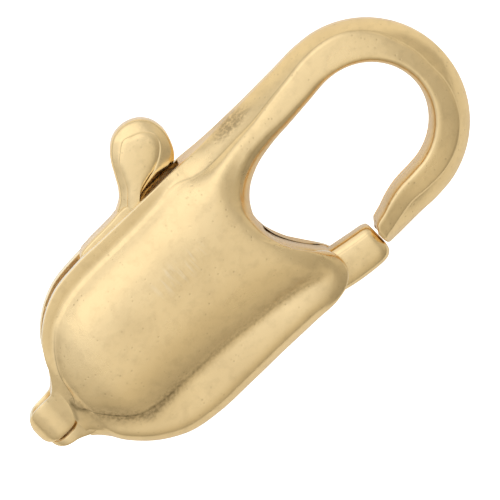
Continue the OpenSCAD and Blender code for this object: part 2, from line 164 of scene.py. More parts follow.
# How much of the bar's own section each row takes from the root row on
BLEND = [0, 0.12, 0.28, 0.48, 0.70, 0.88]

# Section of the hook's bar: share of its width from the outer side, share of the bar's height
BAR = [
    [0.00, 0.27], [0.05, 0.45], [0.11, 0.595], [0.17, 0.715], [0.23, 0.82], [0.29, 0.878],
    [0.37, 0.908], [0.46, 0.933], [0.55, 0.955], [0.64, 0.975], [0.72, 0.992], [0.79, 1.00],
    [0.85, 0.99], [0.91, 0.93], [0.955, 0.80], [0.985, 0.58], [1.00, 0.28],
]
# Knots of BAR at its ridge and where its inner rounding starts
RIDGE, ROUNDING = 4, 12
# Stretches of a section: the lip, the dome, the ledge and the rounded back edge end at these places of BAR
LIP_END, DOME_END, LEDGE_END, EDGE_END = 2, 10, 13, 16
# Width of the ledge, in millimetres, at which its crown is whole, and the crown's share at the tail and nose
FULL_LEDGE = 0.8
LEDGE_CROWNS = (-1.0, 1.5)
# How far into the dome the valley beside the lip reaches
VALLEY_SHARE = 0.10
# Fullness of the dome where it starts at the tail, and on its side toward the ledge
TAIL_FULLNESS, LOW_FULLNESS = 1.6, 3.0
# The ledge keeps at least this share of the way from the crease to the back edge
LEDGE_LEAST = 0.2
# Share of the dome's rise that is lost where it rounds into the throat
THROAT_FALL = 0.12
# Fillets: places where the height is averaged, as shares of the reach, the way from the lip to the crease at
# which the reach changes, and the number of places at which the profile is worked out first
FILLET_TAPS = (-1, -0.6, -0.25, 0.25, 0.6, 1)
FILLET_CHANGE = 0.4
PROFILE_PLACES = 400
# How much the lip rises into the arm's flank, in millimetres, and between which places along the slot
FLANK_LIFT, FLANK_START, FLANK_END = 0.24, 0.87, 0.99
# Lower arm of the hook: share of the way to the tip, share of the bar's narrowing, the outer side's inset
TAPER = [[0.35, 0.12, 0.01], [0.62, 0.46, 0.005], [0.82, 0.80, 0], [0.95, 0.94, 0], [1, 1, 0]]
# Sections along the upper arm, as shares of the way from the root to the bend, and their number in the bend
ARM_STOPS = (0.33, 0.67, 1)
BEND_STEPS = 14
# Places of the ridge and of the inner rounding across the bar: number of the section from the root row, share
RIDGE_WAY = [
    (0, 0.155), (3, 0.295), (5, 0.37), (8, 0.255), (10, 0.20), (11.5, 0.23), (13, 0.36), (15, 0.43),
    (17, 0.33), (18.5, 0.27), (20, 0.29), (23, 0.40), (25, 0.32), (27, 0.25),
]
ROUNDING_WAY = [(0, 0.72), (2, 0.69), (4, 0.73), (6, 0.81), (9, 0.87), (11, 0.85)]
# The tip's end is square up to this share of the width, and slants back by this much beyond it
TIP_SQUARE, TIP_SLANT = 0.60, 0.19
# The opening lies this much off the middle, so the lower arm is thinner
OPENING_SHIFT = -0.05 * BAR_W
# How much further the tip reaches toward the gate than the CAD solid's
TIP_REACH = 0.055
# The opening's round end is a little longer than half a circle
OPENING_REACH = 1.04
# The top falls from the dome to the bar between these shares of the clasp's length, later toward the slot
FALL_START, FALL_END, FALL_LEAN = 0.50, 0.86, 0.35
# Where the heights are evened out between the cheeks and the arm: start, end and ramp as shares of the
# clasp's length, and the lowest y as a share of HALF_W
ROOT_START, ROOT_END, ROOT_RAMP, ROOT_LOW = 0.37, 0.88, 0.11, -0.6
# Angles of the rings that close the tip
TIP_ANGLES = (30, 60, 90)


def mix(a, b, t):
    """a at t = 0, b at t = 1."""
    return a + (b - a) * t


def ramp(value, start, end):
    """Way of a value from start, 0, to end, 1, and no further."""
    return np.clip((value - start) / (end - start), 0, 1)


def ease(t):
    """A share that starts and ends softly."""
    return t * t * (3 - 2 * t)


def spline(knots, rows, at):
    """Smooth curve through the rows, read at the given places along the knots."""
    knots, rows, at = (np.asarray(v, float) for v in (knots, rows, at))
    rows = rows.reshape(len(knots), -1)
    step = np.diff(knots)[:, None]
    slope = np.diff(rows, axis=0) / step
    inner = (slope[:-1] * step[1:] + slope[1:] * step[:-1]) / (step[:-1] + step[1:])
    tangent = np.vstack([slope[:1], inner, slope[-1:]])
    i = np.clip(np.searchsorted(knots, at, side="right") - 1, 0, len(step) - 1)
    h = step[i]
    t = ((at - knots[i])[:, None]) / h
    return (
        (1 + 2 * t) * (1 - t) ** 2 * rows[i]
        + t * (1 - t) ** 2 * h * tangent[i]
        + t * t * (3 - 2 * t) * rows[i + 1]
        - t * t * (1 - t) * h * tangent[i + 1]
    )


def smooth_rows(rows, count):
    """Smooth curve through the rows, read at a number of even places."""
    return spline(range(len(rows)), rows, np.linspace(0, len(rows) - 1, count))


# Edges that turn by more than this stay sharp
SHARP_TURN = math.radians(38)


def make_object(name, bm, material, body):
    """A finished piece from a bmesh in millimetres, with its material and the body that it rides on."""
    bmesh.ops.scale(bm, vec=(MM, MM, MM), verts=bm.verts)
    bmesh.ops.recalc_face_normals(bm, faces=bm.faces)
    mesh = bpy.data.meshes.new(name)
    bm.to_mesh(mesh)
    bm.free()
    mesh.shade_smooth()
    mesh.set_sharp_from_angle(angle=SHARP_TURN)
    mesh.materials.append(material)
    piece = bpy.data.objects.new(name, mesh)
    bpy.context.scene.collection.objects.link(piece)
    if body:
        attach(piece, body)
    return piece


# Layers that say where the gold has residue and painted shade in its creases, is filed or brushed, has a
# painted highlight on its cut edges, or has painted shade lines
MASKS = ("hollow", "filed", "brushed", "cut", "shade_line")


class Net:
    """Faces between named points, each point made once, with room for the masks."""

    def __init__(self):
        self.bm = bmesh.new()
        for name in MASKS:
            self.bm.verts.layers.float.new(name)
        self.verts = {}

    def point(self, key, place):
        """A named point."""
        self.verts[key] = self.bm.verts.new(place)

    def face(self, *keys):
        """A face between named points, in which a point counts once."""
        corners = []
        for key in keys:
            if self.verts[key] not in corners:
                corners.append(self.verts[key])
        if len(corners) > 2:
            self.bm.faces.new(corners)

    def sheet(self, rows, flip=False):
        """Four-sided faces between rows of keys of the same length."""
        for a, b in zip(rows[:-1], rows[1:]):
            for k in range(len(a) - 1):
                ring = (a[k], b[k], b[k + 1], a[k + 1])
                self.face(*(reversed(ring) if flip else ring))


# The body's surface

# Half the width of the painted shade line round the dome, in the numbering of BAR
SHADE_LINE_HALF_W = 0.15
# Numbers of places across the lip, the dome, the ledge and the back edge
LIP_PLACES, DOME_PLACES, LEDGE_PLACES, EDGE_PLACES = 9, 39, 13, 10


def columns():
    """Places across a section, in the numbering of BAR, with a narrow stretch on each side of a painted shade
    line.
    """
    lip = [*np.linspace(0, LIP_END, LIP_PLACES)[:-1], LIP_END - SHADE_LINE_HALF_W]
    on_dome = np.linspace(LIP_END, DOME_END, DOME_PLACES)[1:-1]
    dome = [LIP_END, LIP_END + SHADE_LINE_HALF_W, *on_dome, DOME_END - SHADE_LINE_HALF_W]
    ledge = [DOME_END, DOME_END + SHADE_LINE_HALF_W, *np.linspace(DOME_END, LEDGE_END, LEDGE_PLACES)[1:-1]]
    edge = np.linspace(LEDGE_END, EDGE_END, EDGE_PLACES)
    return np.concatenate([lip, dome, ledge, edge])


COLUMNS = columns()
# Columns at the ledge's far edge, at the lip and at the crease
LEDGE_COL = int(np.argmin(abs(COLUMNS - LEDGE_END)))
LIP_COL = int(np.argmin(abs(COLUMNS - LIP_END)))
CREASE_COL = int(np.argmin(abs(COLUMNS - DOME_END)))


def cheek_profile(row, length, settings):
    """Shares along a cheek section and heights over it, at COLUMNS."""
    base = row.base * RIM_Z
    rise = row.rise * DOME_RISE
    lip, crease, turn = row.lip, row.crease, row.turn
    inside = max(1 - settings.spine / MM / length, mix(crease, 1, LEDGE_LEAST))
    roll = 1 - settings.throat_roll / MM / length

    dip = settings.lip_dip * base * (1 - turn) * row.rise
    lift = FLANK_LIFT * ramp(row.slot_x, FLANK_START, FLANK_END)

    def lip_side(c):
        """Share and height on the lip."""
        q = c / LIP_END
        return lip * q, base - dip * q * q + lift * q

    crown = settings.ledge_crown / MM * min(1, (inside - crease) * length / FULL_LEDGE) ** 2
    crown *= mix(*LEDGE_CROWNS, min(row.back_x, 1))

    def dome(u):
        """Height at a share of the dome's width."""
        foot = base - dip * max(1 - u / VALLEY_SHARE, 0) ** 2 + lift
        power = mix(TAIL_FULLNESS, settings.fullness, row.rise) if u < 0.5 else LOW_FULLNESS
        return foot + (rise - lift) * (1 - abs(2 * u - 1) ** power)

    def with_ledge(c):
        """Share and height where the section ends in the ledge."""
        if c < DOME_END:
            u = (c - LIP_END) / (DOME_END - LIP_END)
            return mix(lip, crease, u), dome(u)
        if c < LEDGE_END:
            q = (c - DOME_END) / (LEDGE_END - DOME_END)
            return mix(crease, inside, q), base + crown * math.sin(math.pi / 2 * q)
        a = (c - LEDGE_END) / (EDGE_END - LEDGE_END) * math.pi / 2
        return mix(inside, 1, math.sin(a)), mix(base + crown, base * row.edge, 1 - math.cos(a))

    def with_throat(c):
        """Share and height where the section rounds into the throat."""
        u = (c - LIP_END) / (DOME_END - LIP_END)
        if c < DOME_END:
            fall = THROAT_FALL * rise * max(2 * u - 1, 0) ** 2
            return mix(lip, roll, u), dome(min(u, 0.5)) - fall
        top = base + (1 - THROAT_FALL) * rise
        a = (c - DOME_END) / (EDGE_END - DOME_END) * settings.throat_turn
        reach, drop = math.sin(settings.throat_turn), 1 - math.cos(settings.throat_turn)
        return mix(roll, 1, math.sin(a) / reach), mix(top, base * row.edge, (1 - math.cos(a)) / drop)

    def place(c):
        """Share and height at a place across the section, in the numbering of BAR."""
        if c < LIP_END:
            return lip_side(c)
        return tuple(mix(a, b, turn) for a, b in zip(with_ledge(c), with_throat(c)))

    shares, heights = np.array([place(c) for c in np.linspace(0, EDGE_END, PROFILE_PLACES)]).T
    wanted = np.array([place(c)[0] for c in COLUMNS])
    # Fillets: the height is averaged over a short stretch
    at_lip = wanted < mix(lip, crease, FILLET_CHANGE)
    reach = np.where(at_lip, settings.lip_fillet, settings.crease_fillet) / MM / length
    reach = np.minimum(reach, np.minimum(wanted, 1 - wanted))
    spread = [np.interp(wanted + reach * k, shares, heights) for k in FILLET_TAPS]
    return wanted, np.mean(spread, axis=0)


def bar_profile(step):
    """Shares across the bar and heights, with the ridge and the rounding where they belong at this step."""
    at = np.interp(COLUMNS, [0, LIP_END, DOME_END, EDGE_END], [0, RIDGE, DOME_END, EDGE_END])
    shares, heights = spline(range(len(BAR)), BAR, at).T
    old = [0, BAR[RIDGE][0], BAR[ROUNDING][0], 1]
    new = [0, np.interp(step, *zip(*RIDGE_WAY)), np.interp(step, *zip(*ROUNDING_WAY)), 1]
    return np.interp(np.clip(shares, 0, 1), old, new), heights


def section(ends, shares, heights, sweep=1.0):
    """Points of one section of the front face."""
    (x0, y0), (x1, y1) = ends
    return np.column_stack([mix(x0, x1, shares ** sweep), mix(y0, y1, shares), heights])


def crest(points):
    """Height of the top at each point as a share of the dome's: 1 on the cheeks, less on the arm."""
    way = (points[:, 0] - TAIL_X + FALL_LEAN * points[:, 1]) / CLASP_LEN
    return mix(1, BAR_Z / DOME_TOP, ease(ramp(way, FALL_START, FALL_END)))


def cheek_section(i, settings):
    """Section of the cheeks at a row of CHEEK and its ends, from the root on more and more like the bar's."""
    row = CHEEK[i]
    ends = (
        (NECK_X + row.slot_x * BODY_L, row.slot_y * HALF_W),
        (NECK_X + row.back_x * BODY_L, row.back_y * HALF_W),
    )
    shares, heights = cheek_profile(row, math.dist(*ends), settings)
    w = 0 if i < ROOT_ROW else BLEND[i - ROOT_ROW]
    bar_shares, bar_heights = bar_profile(max(i - ROOT_ROW, 0))
    heights = mix(heights, bar_heights * DOME_TOP, w)
    return section(ends, mix(shares, bar_shares, w), heights, row.sweep), ends


def hook_ends(bend_x, inner_r, tip):
    """Outer and inner end of each section round the bend and along the lower arm to the tip."""
    ends = []
    for k in range(1, BEND_STEPS + 1):
        a = math.pi * (0.5 - k / BEND_STEPS)
        c, s = math.cos(a), math.sin(a)
        ends.append((
            (bend_x + HALF_W * c, HALF_W * s),
            (bend_x + OPENING_REACH * inner_r * c, OPENING_SHIFT + inner_r * s),
        ))
    for way, narrowing, inset in TAPER:
        ends.append((
            (mix(bend_x, tip, way), inset * BAR_W - HALF_W),
            (mix(bend_x, tip, way), OPENING_SHIFT - inner_r - (BAR_W - TIP_W) * narrowing),
        ))
    return ends


def control_sections(settings):
    """Sections of the front face, from the tail round the hook to its tip."""
    sections = []
    for i in range(len(CHEEK)):
        points, (outer, inner) = cheek_section(i, settings)
        points[:, 2] *= crest(points)
        sections.append(points)
    bend_x = TAIL_X + CLASP_LEN - HALF_W
    inner_r = HALF_W - BAR_W
    for k, t in enumerate(ARM_STOPS):
        bar_shares, bar_heights = bar_profile(len(BLEND) + k)
        ends = (
            (mix(outer[0], bend_x, t), mix(outer[1], HALF_W, t)),
            (mix(inner[0], bend_x, t), mix(inner[1], OPENING_SHIFT + inner_r, t)),
        )
        points = section(ends, bar_shares, bar_heights * DOME_TOP)
        points[:, 2] *= crest(points)
        sections.append(points)
    tip = TIP_X + settings.tip_round / MM - TIP_REACH
    for k, ends in enumerate(hook_ends(bend_x, inner_r, tip)):
        bar_shares, bar_heights = bar_profile(len(BLEND) + len(ARM_STOPS) + k)
        points = section(ends, bar_shares, bar_heights * BAR_Z)
        if k >= BEND_STEPS:
            beyond = ramp(bar_shares, TIP_SQUARE, 1)
            points[:, 0] += TIP_SLANT * beyond * TAPER[k - BEND_STEPS][0] ** 4
        sections.append(points)
    return np.array(sections)


def smooth_root(rows, reach):
    """Evens out the heights along the rows where the cheeks run into the arm."""
    for j in range(rows.shape[1]):
        line = rows[:, j]
        steps = np.linalg.norm(np.diff(line[:, :2], axis=0), axis=1)
        way = np.concatenate([[0], np.cumsum(steps)])
        weight = np.gradient(way) * np.exp(-((way[:, None] - way) / reach) ** 2)
        even = weight @ line[:, 2] / weight.sum(axis=1)
        x = (line[:, 0] - TAIL_X) / CLASP_LEN
        zone = ramp(x, ROOT_START, ROOT_START + ROOT_RAMP) * ramp(x, ROOT_END, ROOT_END - ROOT_RAMP)
        zone *= line[:, 1] > ROOT_LOW * HALF_W
        rows[:, j, 2] = mix(line[:, 2], even, ease(zone))


def body_surface(settings):
    """Front face of the body as rows of points, and the rows of the slot's start, spine's end and root."""
    control = control_sections(settings)
    chords = np.linalg.norm(np.diff(control, axis=0), axis=2)
    knots = np.concatenate([[0], np.cumsum(chords.mean(axis=1))])
    places, marks = [], []
    for i in range(len(knots) - 1):
        marks.append(len(places))
        steps = max(1, math.ceil(chords[i].max() / (settings.spacing / MM)))
        places += list(mix(knots[i], knots[i + 1], np.arange(steps) / steps))
    places.append(knots[-1])
    rows = spline(knots, control.reshape(len(control), -1), places).reshape(len(places), -1, 3)
    smooth_root(rows, settings.root_blend / MM)
    # The tip closes with a rounded edge
    last = rows[-1]
    middle = last.mean(axis=0) * (1, 1, 0)
    half = np.abs(last - middle).max(axis=0)
    r = settings.tip_round / MM
    caps = []
    for a in np.radians(TIP_ANGLES):
        shrink = 1 - r * (1 - math.cos(a)) / half
        ring = middle + (last - middle) * (1, shrink[1], shrink[2])
        caps.append(ring - (r * math.sin(a), 0, 0))
    return np.concatenate([rows, caps]), [marks[k] for k in (SLOT_ROW, SPINE_ROW, ROOT_ROW)]


# The crease, where solder has settled and painted shade darkens the gold, and how far that reaches: x from
# the tail end, y, and how strongly
CREASE = [
    [1.60, 0.85, 0.1], [1.33, 0.15, 0.3], [1.60, -0.50, 0.5], [2.00, -1.05, 0.8], [2.60, -1.52, 1.0],
    [3.30, -1.52, 0.9], [4.00, -1.50, 0.5], [5.50, -1.55, 0.35], [7.20, -1.72, 0.4], [8.40, -2.02, 0.3],
]
CREASE_REACH = 0.15
# How dark the painted shade line is along the dome's front side, the arm's ridge and the ledge: x from the
# tail end, share
FRONT_SHADE_LINE = [(1.34, 0), (1.40, 1.0), (1.65, 0.75), (2.10, 0.30), (2.70, 0)]
ARM_SHADE_LINE = [(6.90, 0), (7.30, 0.30), (8.20, 0.45), (9.70, 0.40), (11.50, 0.30), (12.60, 0.16), (13.40, 0)]
LEDGE_SHADE_LINE = [(1.34, 0), (1.40, 1.0), (2.30, 0.85), (3.00, 0.45), (5.00, 0.22), (7.50, 0.22), (8.60, 0)]
# Painted shade in the gap beside the strap and at the end of the ledge's painted shade line, which meet, and
# how far
# they reach: x from the tail end, y, and how strongly
STRAP_GAP_SHADE = [[1.31, 0.15, 1.0], [1.25, 0.02, 0.6], [1.10, -0.29, 0.7]]
SHADE_LINE_JOIN = [[1.30, 0.10, 1.0], [1.32, -0.07, 0.9], [1.41, -0.20, 0.7], [1.50, -0.29, 0.3]]
STRAP_GAP_SHADE_REACH = 0.055
# Patches with tool marks: x from the tail end, y, half length and half width
FILED = [9.55, 2.55, 0.62, 0.20]
BRUSHED = [5.90, 0.75, 0.95, 0.32]
# A point at more than this height is on the front or back face
FACE_Z = 0.5 * RIM_Z


def way_along(x, y, start, end):
    """Where a point lies beside a straight line, as a share of its length."""
    (x0, y0), (x1, y1) = start, end
    t = ((x - x0) * (x1 - x0) + (y - y0) * (y1 - y0)) / ((x1 - x0) ** 2 + (y1 - y0) ** 2)
    return min(max(t, 0), 1)


def near_line(x, y, line, reach):
    """1 on the line where it is strongest, falling to 0 beside it."""
    best = 0
    for (x0, y0, a), (x1, y1, b) in zip(line[:-1], line[1:]):
        t = way_along(x, y, (x0, y0), (x1, y1))
        away = math.hypot(x - mix(x0, x1, t), y - mix(y0, y1, t)) / reach
        best = max(best, mix(a, b, t) * math.exp(-away * away))
    return best


def in_patch(x, y, patch):
    """1 in the middle of a patch, falling to 0 at its edge."""
    away = ((x - patch[0]) / patch[2]) ** 2 + ((y - patch[1]) / patch[3]) ** 2
    return math.exp(-away * away)


def paint_masks(bm):
    """Marks the crease and the tool marks of the front and back faces."""
    hollow, filed, brushed = (bm.verts.layers.float[name] for name in MASKS[:3])
    for vert in bm.verts:
        x, y = vert.co.x - TAIL_X, vert.co.y
        if abs(vert.co.z) > FACE_Z:
            vert[hollow] = near_line(x, y, CREASE, CREASE_REACH)
        vert[filed] = in_patch(x, y, FILED)
        vert[brushed] = in_patch(x, y, BRUSHED)


def paint_shade_lines(body):
    """Draws the painted shade lines round the dome, along the arm's ridge and, on the front, beside the
    strap.
    """
    shade_line = body.bm.verts.layers.float["shade_line"]
    for i in range(body.n_rows):
        for side in ("f", "b"):
            at_lip, at_crease = body.verts[(side, i, LIP_COL)], body.verts[(side, i, CREASE_COL)]
            x = at_lip.co.x - TAIL_X
            on_arm = i >= body.root or x > ARM_SHADE_LINE[0][0]
            if on_arm and at_lip.co.y > 0:
                at_lip[shade_line] = np.interp(x, *zip(*ARM_SHADE_LINE))
            elif not on_arm:
                at_lip[shade_line] = np.interp(x, *zip(*FRONT_SHADE_LINE))
            if i < body.root:
                at_crease[shade_line] = np.interp(at_crease.co.x - TAIL_X, *zip(*LEDGE_SHADE_LINE))
    for vert in body.bm.verts:
        if vert.co.z > FACE_Z:
            for line in (STRAP_GAP_SHADE, SHADE_LINE_JOIN):
                beside = near_line(vert.co.x - TAIL_X, vert.co.y, line, STRAP_GAP_SHADE_REACH)
                vert[shade_line] = max(vert[shade_line], beside)


def corner(a, b, c, count):
    """Points of a rounded corner from a past b to c."""
    return [(1 - t) ** 2 * a + 2 * t * (1 - t) * b + t * t * c for t in np.linspace(0, 1, count)]


# The front and the back, and the sign of their z
SIDES = (("f", 1), ("b", -1))
# Numbers of points of the outer and the inner rounded edge, and of steps from the front to the back
OUTER_EDGE, INNER_EDGE, WALL_STEPS = 4, 3, 4
EDGE_POINTS = OUTER_EDGE + INNER_EDGE
# Steps down a solid side, as many as the inner edge has points, as shares of its height
SIDE_STEPS = (0.8, 0.6, 0.4)
# A rounded edge takes at most this share of the height below it
EDGE_MOST = 0.45
# The wall keeps at least this share of its thickness where the cavity is shallow
WALL_LEAST = 0.6
# The painted highlight on the cut edge starts at this point of the rounded edge
HIGHLIGHT_FROM = 2


class Body(Net):
    """Hollow cheeks and solid hook: rows of points on the front, "f", and the back, "b".

    Each row runs from its near edge, along the slot or the hook's outer side, to its far edge.
    """

    def __init__(self, settings):
        super().__init__()
        self.rows, (self.slot, self.spine, self.root) = body_surface(settings)
        self.n_rows, columns_across = self.rows.shape[:2]
        self.last = columns_across - 1
        self.wall = settings.wall / MM
        self.rim = settings.rim_round / MM

    def inner_z(self, z):
        """Height of the cavity under a point of the face."""
        return min(max(z - self.wall, SLOT_Z), z - WALL_LEAST * self.wall)

    def edge_points(self, i, j, toward):
        """Rounded edge of row i at its end j, from the outer face to the inner face or to the middle."""
        edge = self.rows[i][j]
        along = self.rows[i][toward] - edge
        along[2] = 0
        r = self.rim
        step = along / np.linalg.norm(along) * r
        top = edge + step
        top[2] = np.interp(r, [0, np.linalg.norm(along)], [edge[2], self.rows[i][toward][2]])
        down = np.array([0, 0, min(r, EDGE_MOST * edge[2])])
        points = corner(top, edge, edge - down, OUTER_EDGE)
        if self.slot <= i <= self.root and (j == 0 or i >= self.spine):
            bottom = edge * (1, 1, 0) + (0, 0, self.inner_z(edge[2]))
            return points + corner(bottom + (0, 0, r), bottom, bottom + step, INNER_EDGE)
        return points + [edge * (1, 1, 0) + (0, 0, (edge - down)[2] * q) for q in SIDE_STEPS]

    def outer_row(self, side, i):
        """Keys across the outer face, whose first and last columns give way to the rounded edges."""
        middle = [(side, i, j) for j in range(1, self.last)]
        return [(side, i, "near", 0)] + middle + [(side, i, "far", 0)]

    def edge_keys(self, side, i, which):
        """Keys of a rounded edge, from the outer face inward."""
        return [(side, i, which, k) for k in range(EDGE_POINTS)]

    def inner_key(self, side, i, j):
        """Key of a point of the cavity's face, which ends at the last points of the rounded edges."""
        if j == 0:
            return (side, i, "near", EDGE_POINTS - 1)
        if j == self.last:
            return (side, i, "far", EDGE_POINTS - 1)
        return ("in" + side, i, j)

    def bridge(self, i, j):
        """Keys from the front to the back at row i and column j, through the metal or the cavity's end."""
        front, back = self.inner_key("f", i, j), self.inner_key("b", i, j)
        keys = [front]
        for k in range(1, WALL_STEPS):
            key = ("mid", i, j, k)
            if key not in self.verts:
                a, b = self.verts[front].co, self.verts[back].co
                self.point(key, a.lerp(b, k / WALL_STEPS))
            keys.append(key)
        return keys + [back]

    def add_outer_faces(self):
        """The front and the back, with the points of their rounded edges."""
        for i in range(self.n_rows):
            near, far = self.edge_points(i, 0, 1), self.edge_points(i, self.last, self.last - 1)
            for side, sign in SIDES:
                for j in range(1, self.last):
                    self.point((side, i, j), self.rows[i][j] * (1, 1, sign))
                for which, points in (("near", near), ("far", far)):
                    for k, p in enumerate(points):
                        self.point((side, i, which, k), p * (1, 1, sign))
        for side in ("f", "b"):
            self.sheet([self.outer_row(side, i) for i in range(self.n_rows)], flip=side == "f")

    def add_inner_faces(self):
        """The cavity's front and back, over the whole width where the throat is open."""
        for i in range(self.slot, self.root + 1):
            for side, sign in SIDES:
                for j in range(1, self.last):
                    x, y, z = self.rows[i][j]
                    self.point(("in" + side, i, j), (x, y, sign * self.inner_z(z)))
        for start, first, end in ((self.slot, 0, LEDGE_COL), (self.spine, LEDGE_COL, self.last)):
            for side in ("f", "b"):
                rows = [
                    [self.inner_key(side, i, j) for j in range(first, end + 1)]
                    for i in range(start, self.root + 1)
                ]
                self.sheet(rows, flip=side == "b")

    def add_walls(self):
        """Side walls with their rounded edges, open along the slot and the throat, and the cavity's ends."""
        for which, j, start in (("near", 0, self.slot), ("far", self.last, self.spine)):
            far = which == "far"
            self.sheet([self.edge_keys("f", i, which) for i in range(self.n_rows)], flip=far)
            self.sheet([self.edge_keys("b", i, which) for i in range(self.n_rows)], flip=not far)
            for a, b in ((0, start), (self.root, self.n_rows - 1)):
                self.sheet([self.bridge(i, j) for i in range(a, b + 1)], flip=far)
        self.sheet([self.bridge(self.slot, j) for j in range(0, LEDGE_COL + 1)])
        self.sheet([self.bridge(self.root, j) for j in range(0, self.last + 1)])
        self.sheet([self.bridge(self.spine, j) for j in range(LEDGE_COL, self.last + 1)])
        self.sheet([self.bridge(i, LEDGE_COL) for i in range(self.slot, self.spine + 1)])

    def add_flat_ends(self):
        """Flat faces at the tail and at the tip."""
        for i in (0, self.n_rows - 1):
            ring = self.outer_row("f", i) + self.edge_keys("f", i, "far")[1:]
            ring += self.bridge(i, self.last)[1:-1]
            ring += self.edge_keys("b", i, "far")[:0:-1] + self.outer_row("b", i)[::-1]
            ring += self.edge_keys("b", i, "near")[1:]
            ring += self.bridge(i, 0)[-2:0:-1] + self.edge_keys("f", i, "near")[:0:-1]
            self.face(*ring)

    def mark_cuts(self):
        """Marks the rounded edges of the cheeks for a painted highlight."""
        cut = self.bm.verts.layers.float["cut"]
        for which, start in (("near", 0), ("far", self.spine)):
            for i in range(start, self.root + 1):
                for side in ("f", "b"):
                    for k in range(HIGHLIGHT_FROM, EDGE_POINTS - 1):
                        self.verts[(side, i, which, k)][cut] = 1.0


def body_mesh(settings):
    """The hollow cheeks and the solid hook as one closed mesh."""
    body = Body(settings)
    body.add_outer_faces()
    body.add_inner_faces()
    body.add_walls()
    body.add_flat_ends()
    paint_masks(body.bm)
    paint_shade_lines(body)
    body.mark_cuts()
    return body.bm


# Materials

def new_group(name, inputs, outputs):
    """A shader node group that is fed a place and some numbers and puts out numbers."""
    group = bpy.data.node_groups.new(name, "ShaderNodeTree")
    group.interface.new_socket("Vector", in_out="INPUT", socket_type="NodeSocketVector")
    for label, default in inputs.items():
        socket = group.interface.new_socket(label, in_out="INPUT", socket_type="NodeSocketFloat")
        socket.default_value = default
    for label in outputs:
        group.interface.new_socket(label, in_out="OUTPUT", socket_type="NodeSocketFloat")
    return group, group.nodes.new("NodeGroupInput"), group.nodes.new("NodeGroupOutput")


def add(nodes, kind, **values):
    """A node with its properties set."""
    node = nodes.new(kind)
    for name, value in values.items():
        setattr(node, name, value)
    return node


def feed(tree, socket, value):
    """Links a socket to a socket, or sets it to a number or a colour."""
    if isinstance(value, bpy.types.NodeSocket):
        tree.links.new(value, socket)
    else:
        socket.default_value = value


def math_node(tree, operation, *values, clamp=False):
    """A Math node fed by sockets or numbers."""
    node = add(tree.nodes, "ShaderNodeMath", operation=operation, use_clamp=clamp)
    for socket, value in zip(node.inputs, values):
        feed(tree, socket, value)
    return node.outputs[0]


def use_group(tree, group, place):
    """Outputs of a node group that is fed a place."""
    node = add(tree.nodes, "ShaderNodeGroup", node_tree=group)
    tree.links.new(place, node.inputs["Vector"])
    return node.outputs


def scaled(tree, value, by, low=0.0):
    """A value less its low, times a number, not below 0 or above 1."""
    if low:
        value = math_node(tree, "SUBTRACT", value, low)
    return math_node(tree, "MULTIPLY", value, by, clamp=True)


def plus(tree, a, b):
    """Sum of two values, at most 1."""
    return math_node(tree, "ADD", a, b, clamp=True)


def over(tree, a, b, share):
    """Colour b over colour a, by a share."""
    node = add(tree.nodes, "ShaderNodeMix", data_type="RGBA")
    for name, value in (("Factor", share), ("A", a), ("B", b)):
        feed(tree, node.inputs[name], value)
    return node.outputs["Result"]


def eased(tree, value, span, result):
    """A value's way through a span, turned smoothly into the way from one result to the other."""
    node = add(tree.nodes, "ShaderNodeMapRange", interpolation_type="SMOOTHSTEP")
    for name, number in zip(("From Min", "From Max", "To Min", "To Max"), (*span, *result)):
        node.inputs[name].default_value = number
    tree.links.new(value, node.inputs["Value"])
    return node.outputs["Result"]


def noise(tree, vector, scale, detail, roughness=0.5):
    """Soft noise over a place."""
    node = add(tree.nodes, "ShaderNodeTexNoise")
    for name, value in (("Vector", vector), ("Scale", scale), ("Detail", detail), ("Roughness", roughness)):
        feed(tree, node.inputs[name], value)
    return node.outputs[0]


# Scale of the peel as a multiple of the clouds', then of the pits' chooser and of the fine grain of the pits'
PEEL_SCALE, CHOOSER_SCALE, FINE_SCALE = 5.5, 0.35, 1.7
# How sharply a pit ends, how rare pits are, and how sharply they are chosen
PIT_EDGE, PIT_RARITY, PIT_CHOICE = 4.2, 0.82, 9.0
# Heights of the pits, the fine grain, the clouds and the peel
GRAIN_HEIGHTS = (-1.0, 0.16, 1.6, 1.1)


def casting_grain():
    """Fine pits and a faint unevenness, as a height and four masks."""
    name = "Casting grain"
    if name in bpy.data.node_groups:
        return bpy.data.node_groups[name]
    inputs = {"Pit Scale": 6500.0, "Pit Share": 0.34, "Cloud Scale": 650.0}
    group, inp, out = new_group(name, inputs, ("Height", "Pits", "Clouds", "Peel", "Fine"))
    place, pit_scale, pit_share, cloud_scale = inp.outputs[:4]
    clouds = noise(group, place, cloud_scale, detail=4.0)
    peel_scale = math_node(group, "MULTIPLY", cloud_scale, PEEL_SCALE)
    peel = noise(group, place, peel_scale, detail=3.0, roughness=0.6)
    fine_scale = math_node(group, "MULTIPLY", pit_scale, FINE_SCALE)
    fine = noise(group, place, fine_scale, detail=3.0)
    chooser_scale = math_node(group, "MULTIPLY", pit_scale, CHOOSER_SCALE)
    chooser = noise(group, place, chooser_scale, detail=2.0)
    cells = add(group.nodes, "ShaderNodeTexVoronoi", feature="F1")
    feed(group, cells.inputs["Vector"], place)
    feed(group, cells.inputs["Scale"], pit_scale)
    dot = math_node(group, "MULTIPLY", cells.outputs["Distance"], PIT_EDGE)
    dot = math_node(group, "SUBTRACT", 1.0, dot, clamp=True)
    level = math_node(group, "SUBTRACT", PIT_RARITY, pit_share)
    here = math_node(group, "SUBTRACT", chooser, level)
    here = math_node(group, "MULTIPLY", here, PIT_CHOICE, clamp=True)
    pits = math_node(group, "MULTIPLY", dot, here, clamp=True)
    height = 0.0
    for part, share in zip((pits, fine, clouds, peel), GRAIN_HEIGHTS):
        height = math_node(group, "MULTIPLY_ADD", part, share, height)
    for socket, value in zip(out.inputs, (height, pits, clouds, peel, fine)):
        feed(group, socket, value)
    return group


# The way that brush marks turn, and how closely they lie across and along it
BRUSH_TURN = math.radians(-22)
BRUSH_SCALE = (9000, 1100, 4000)


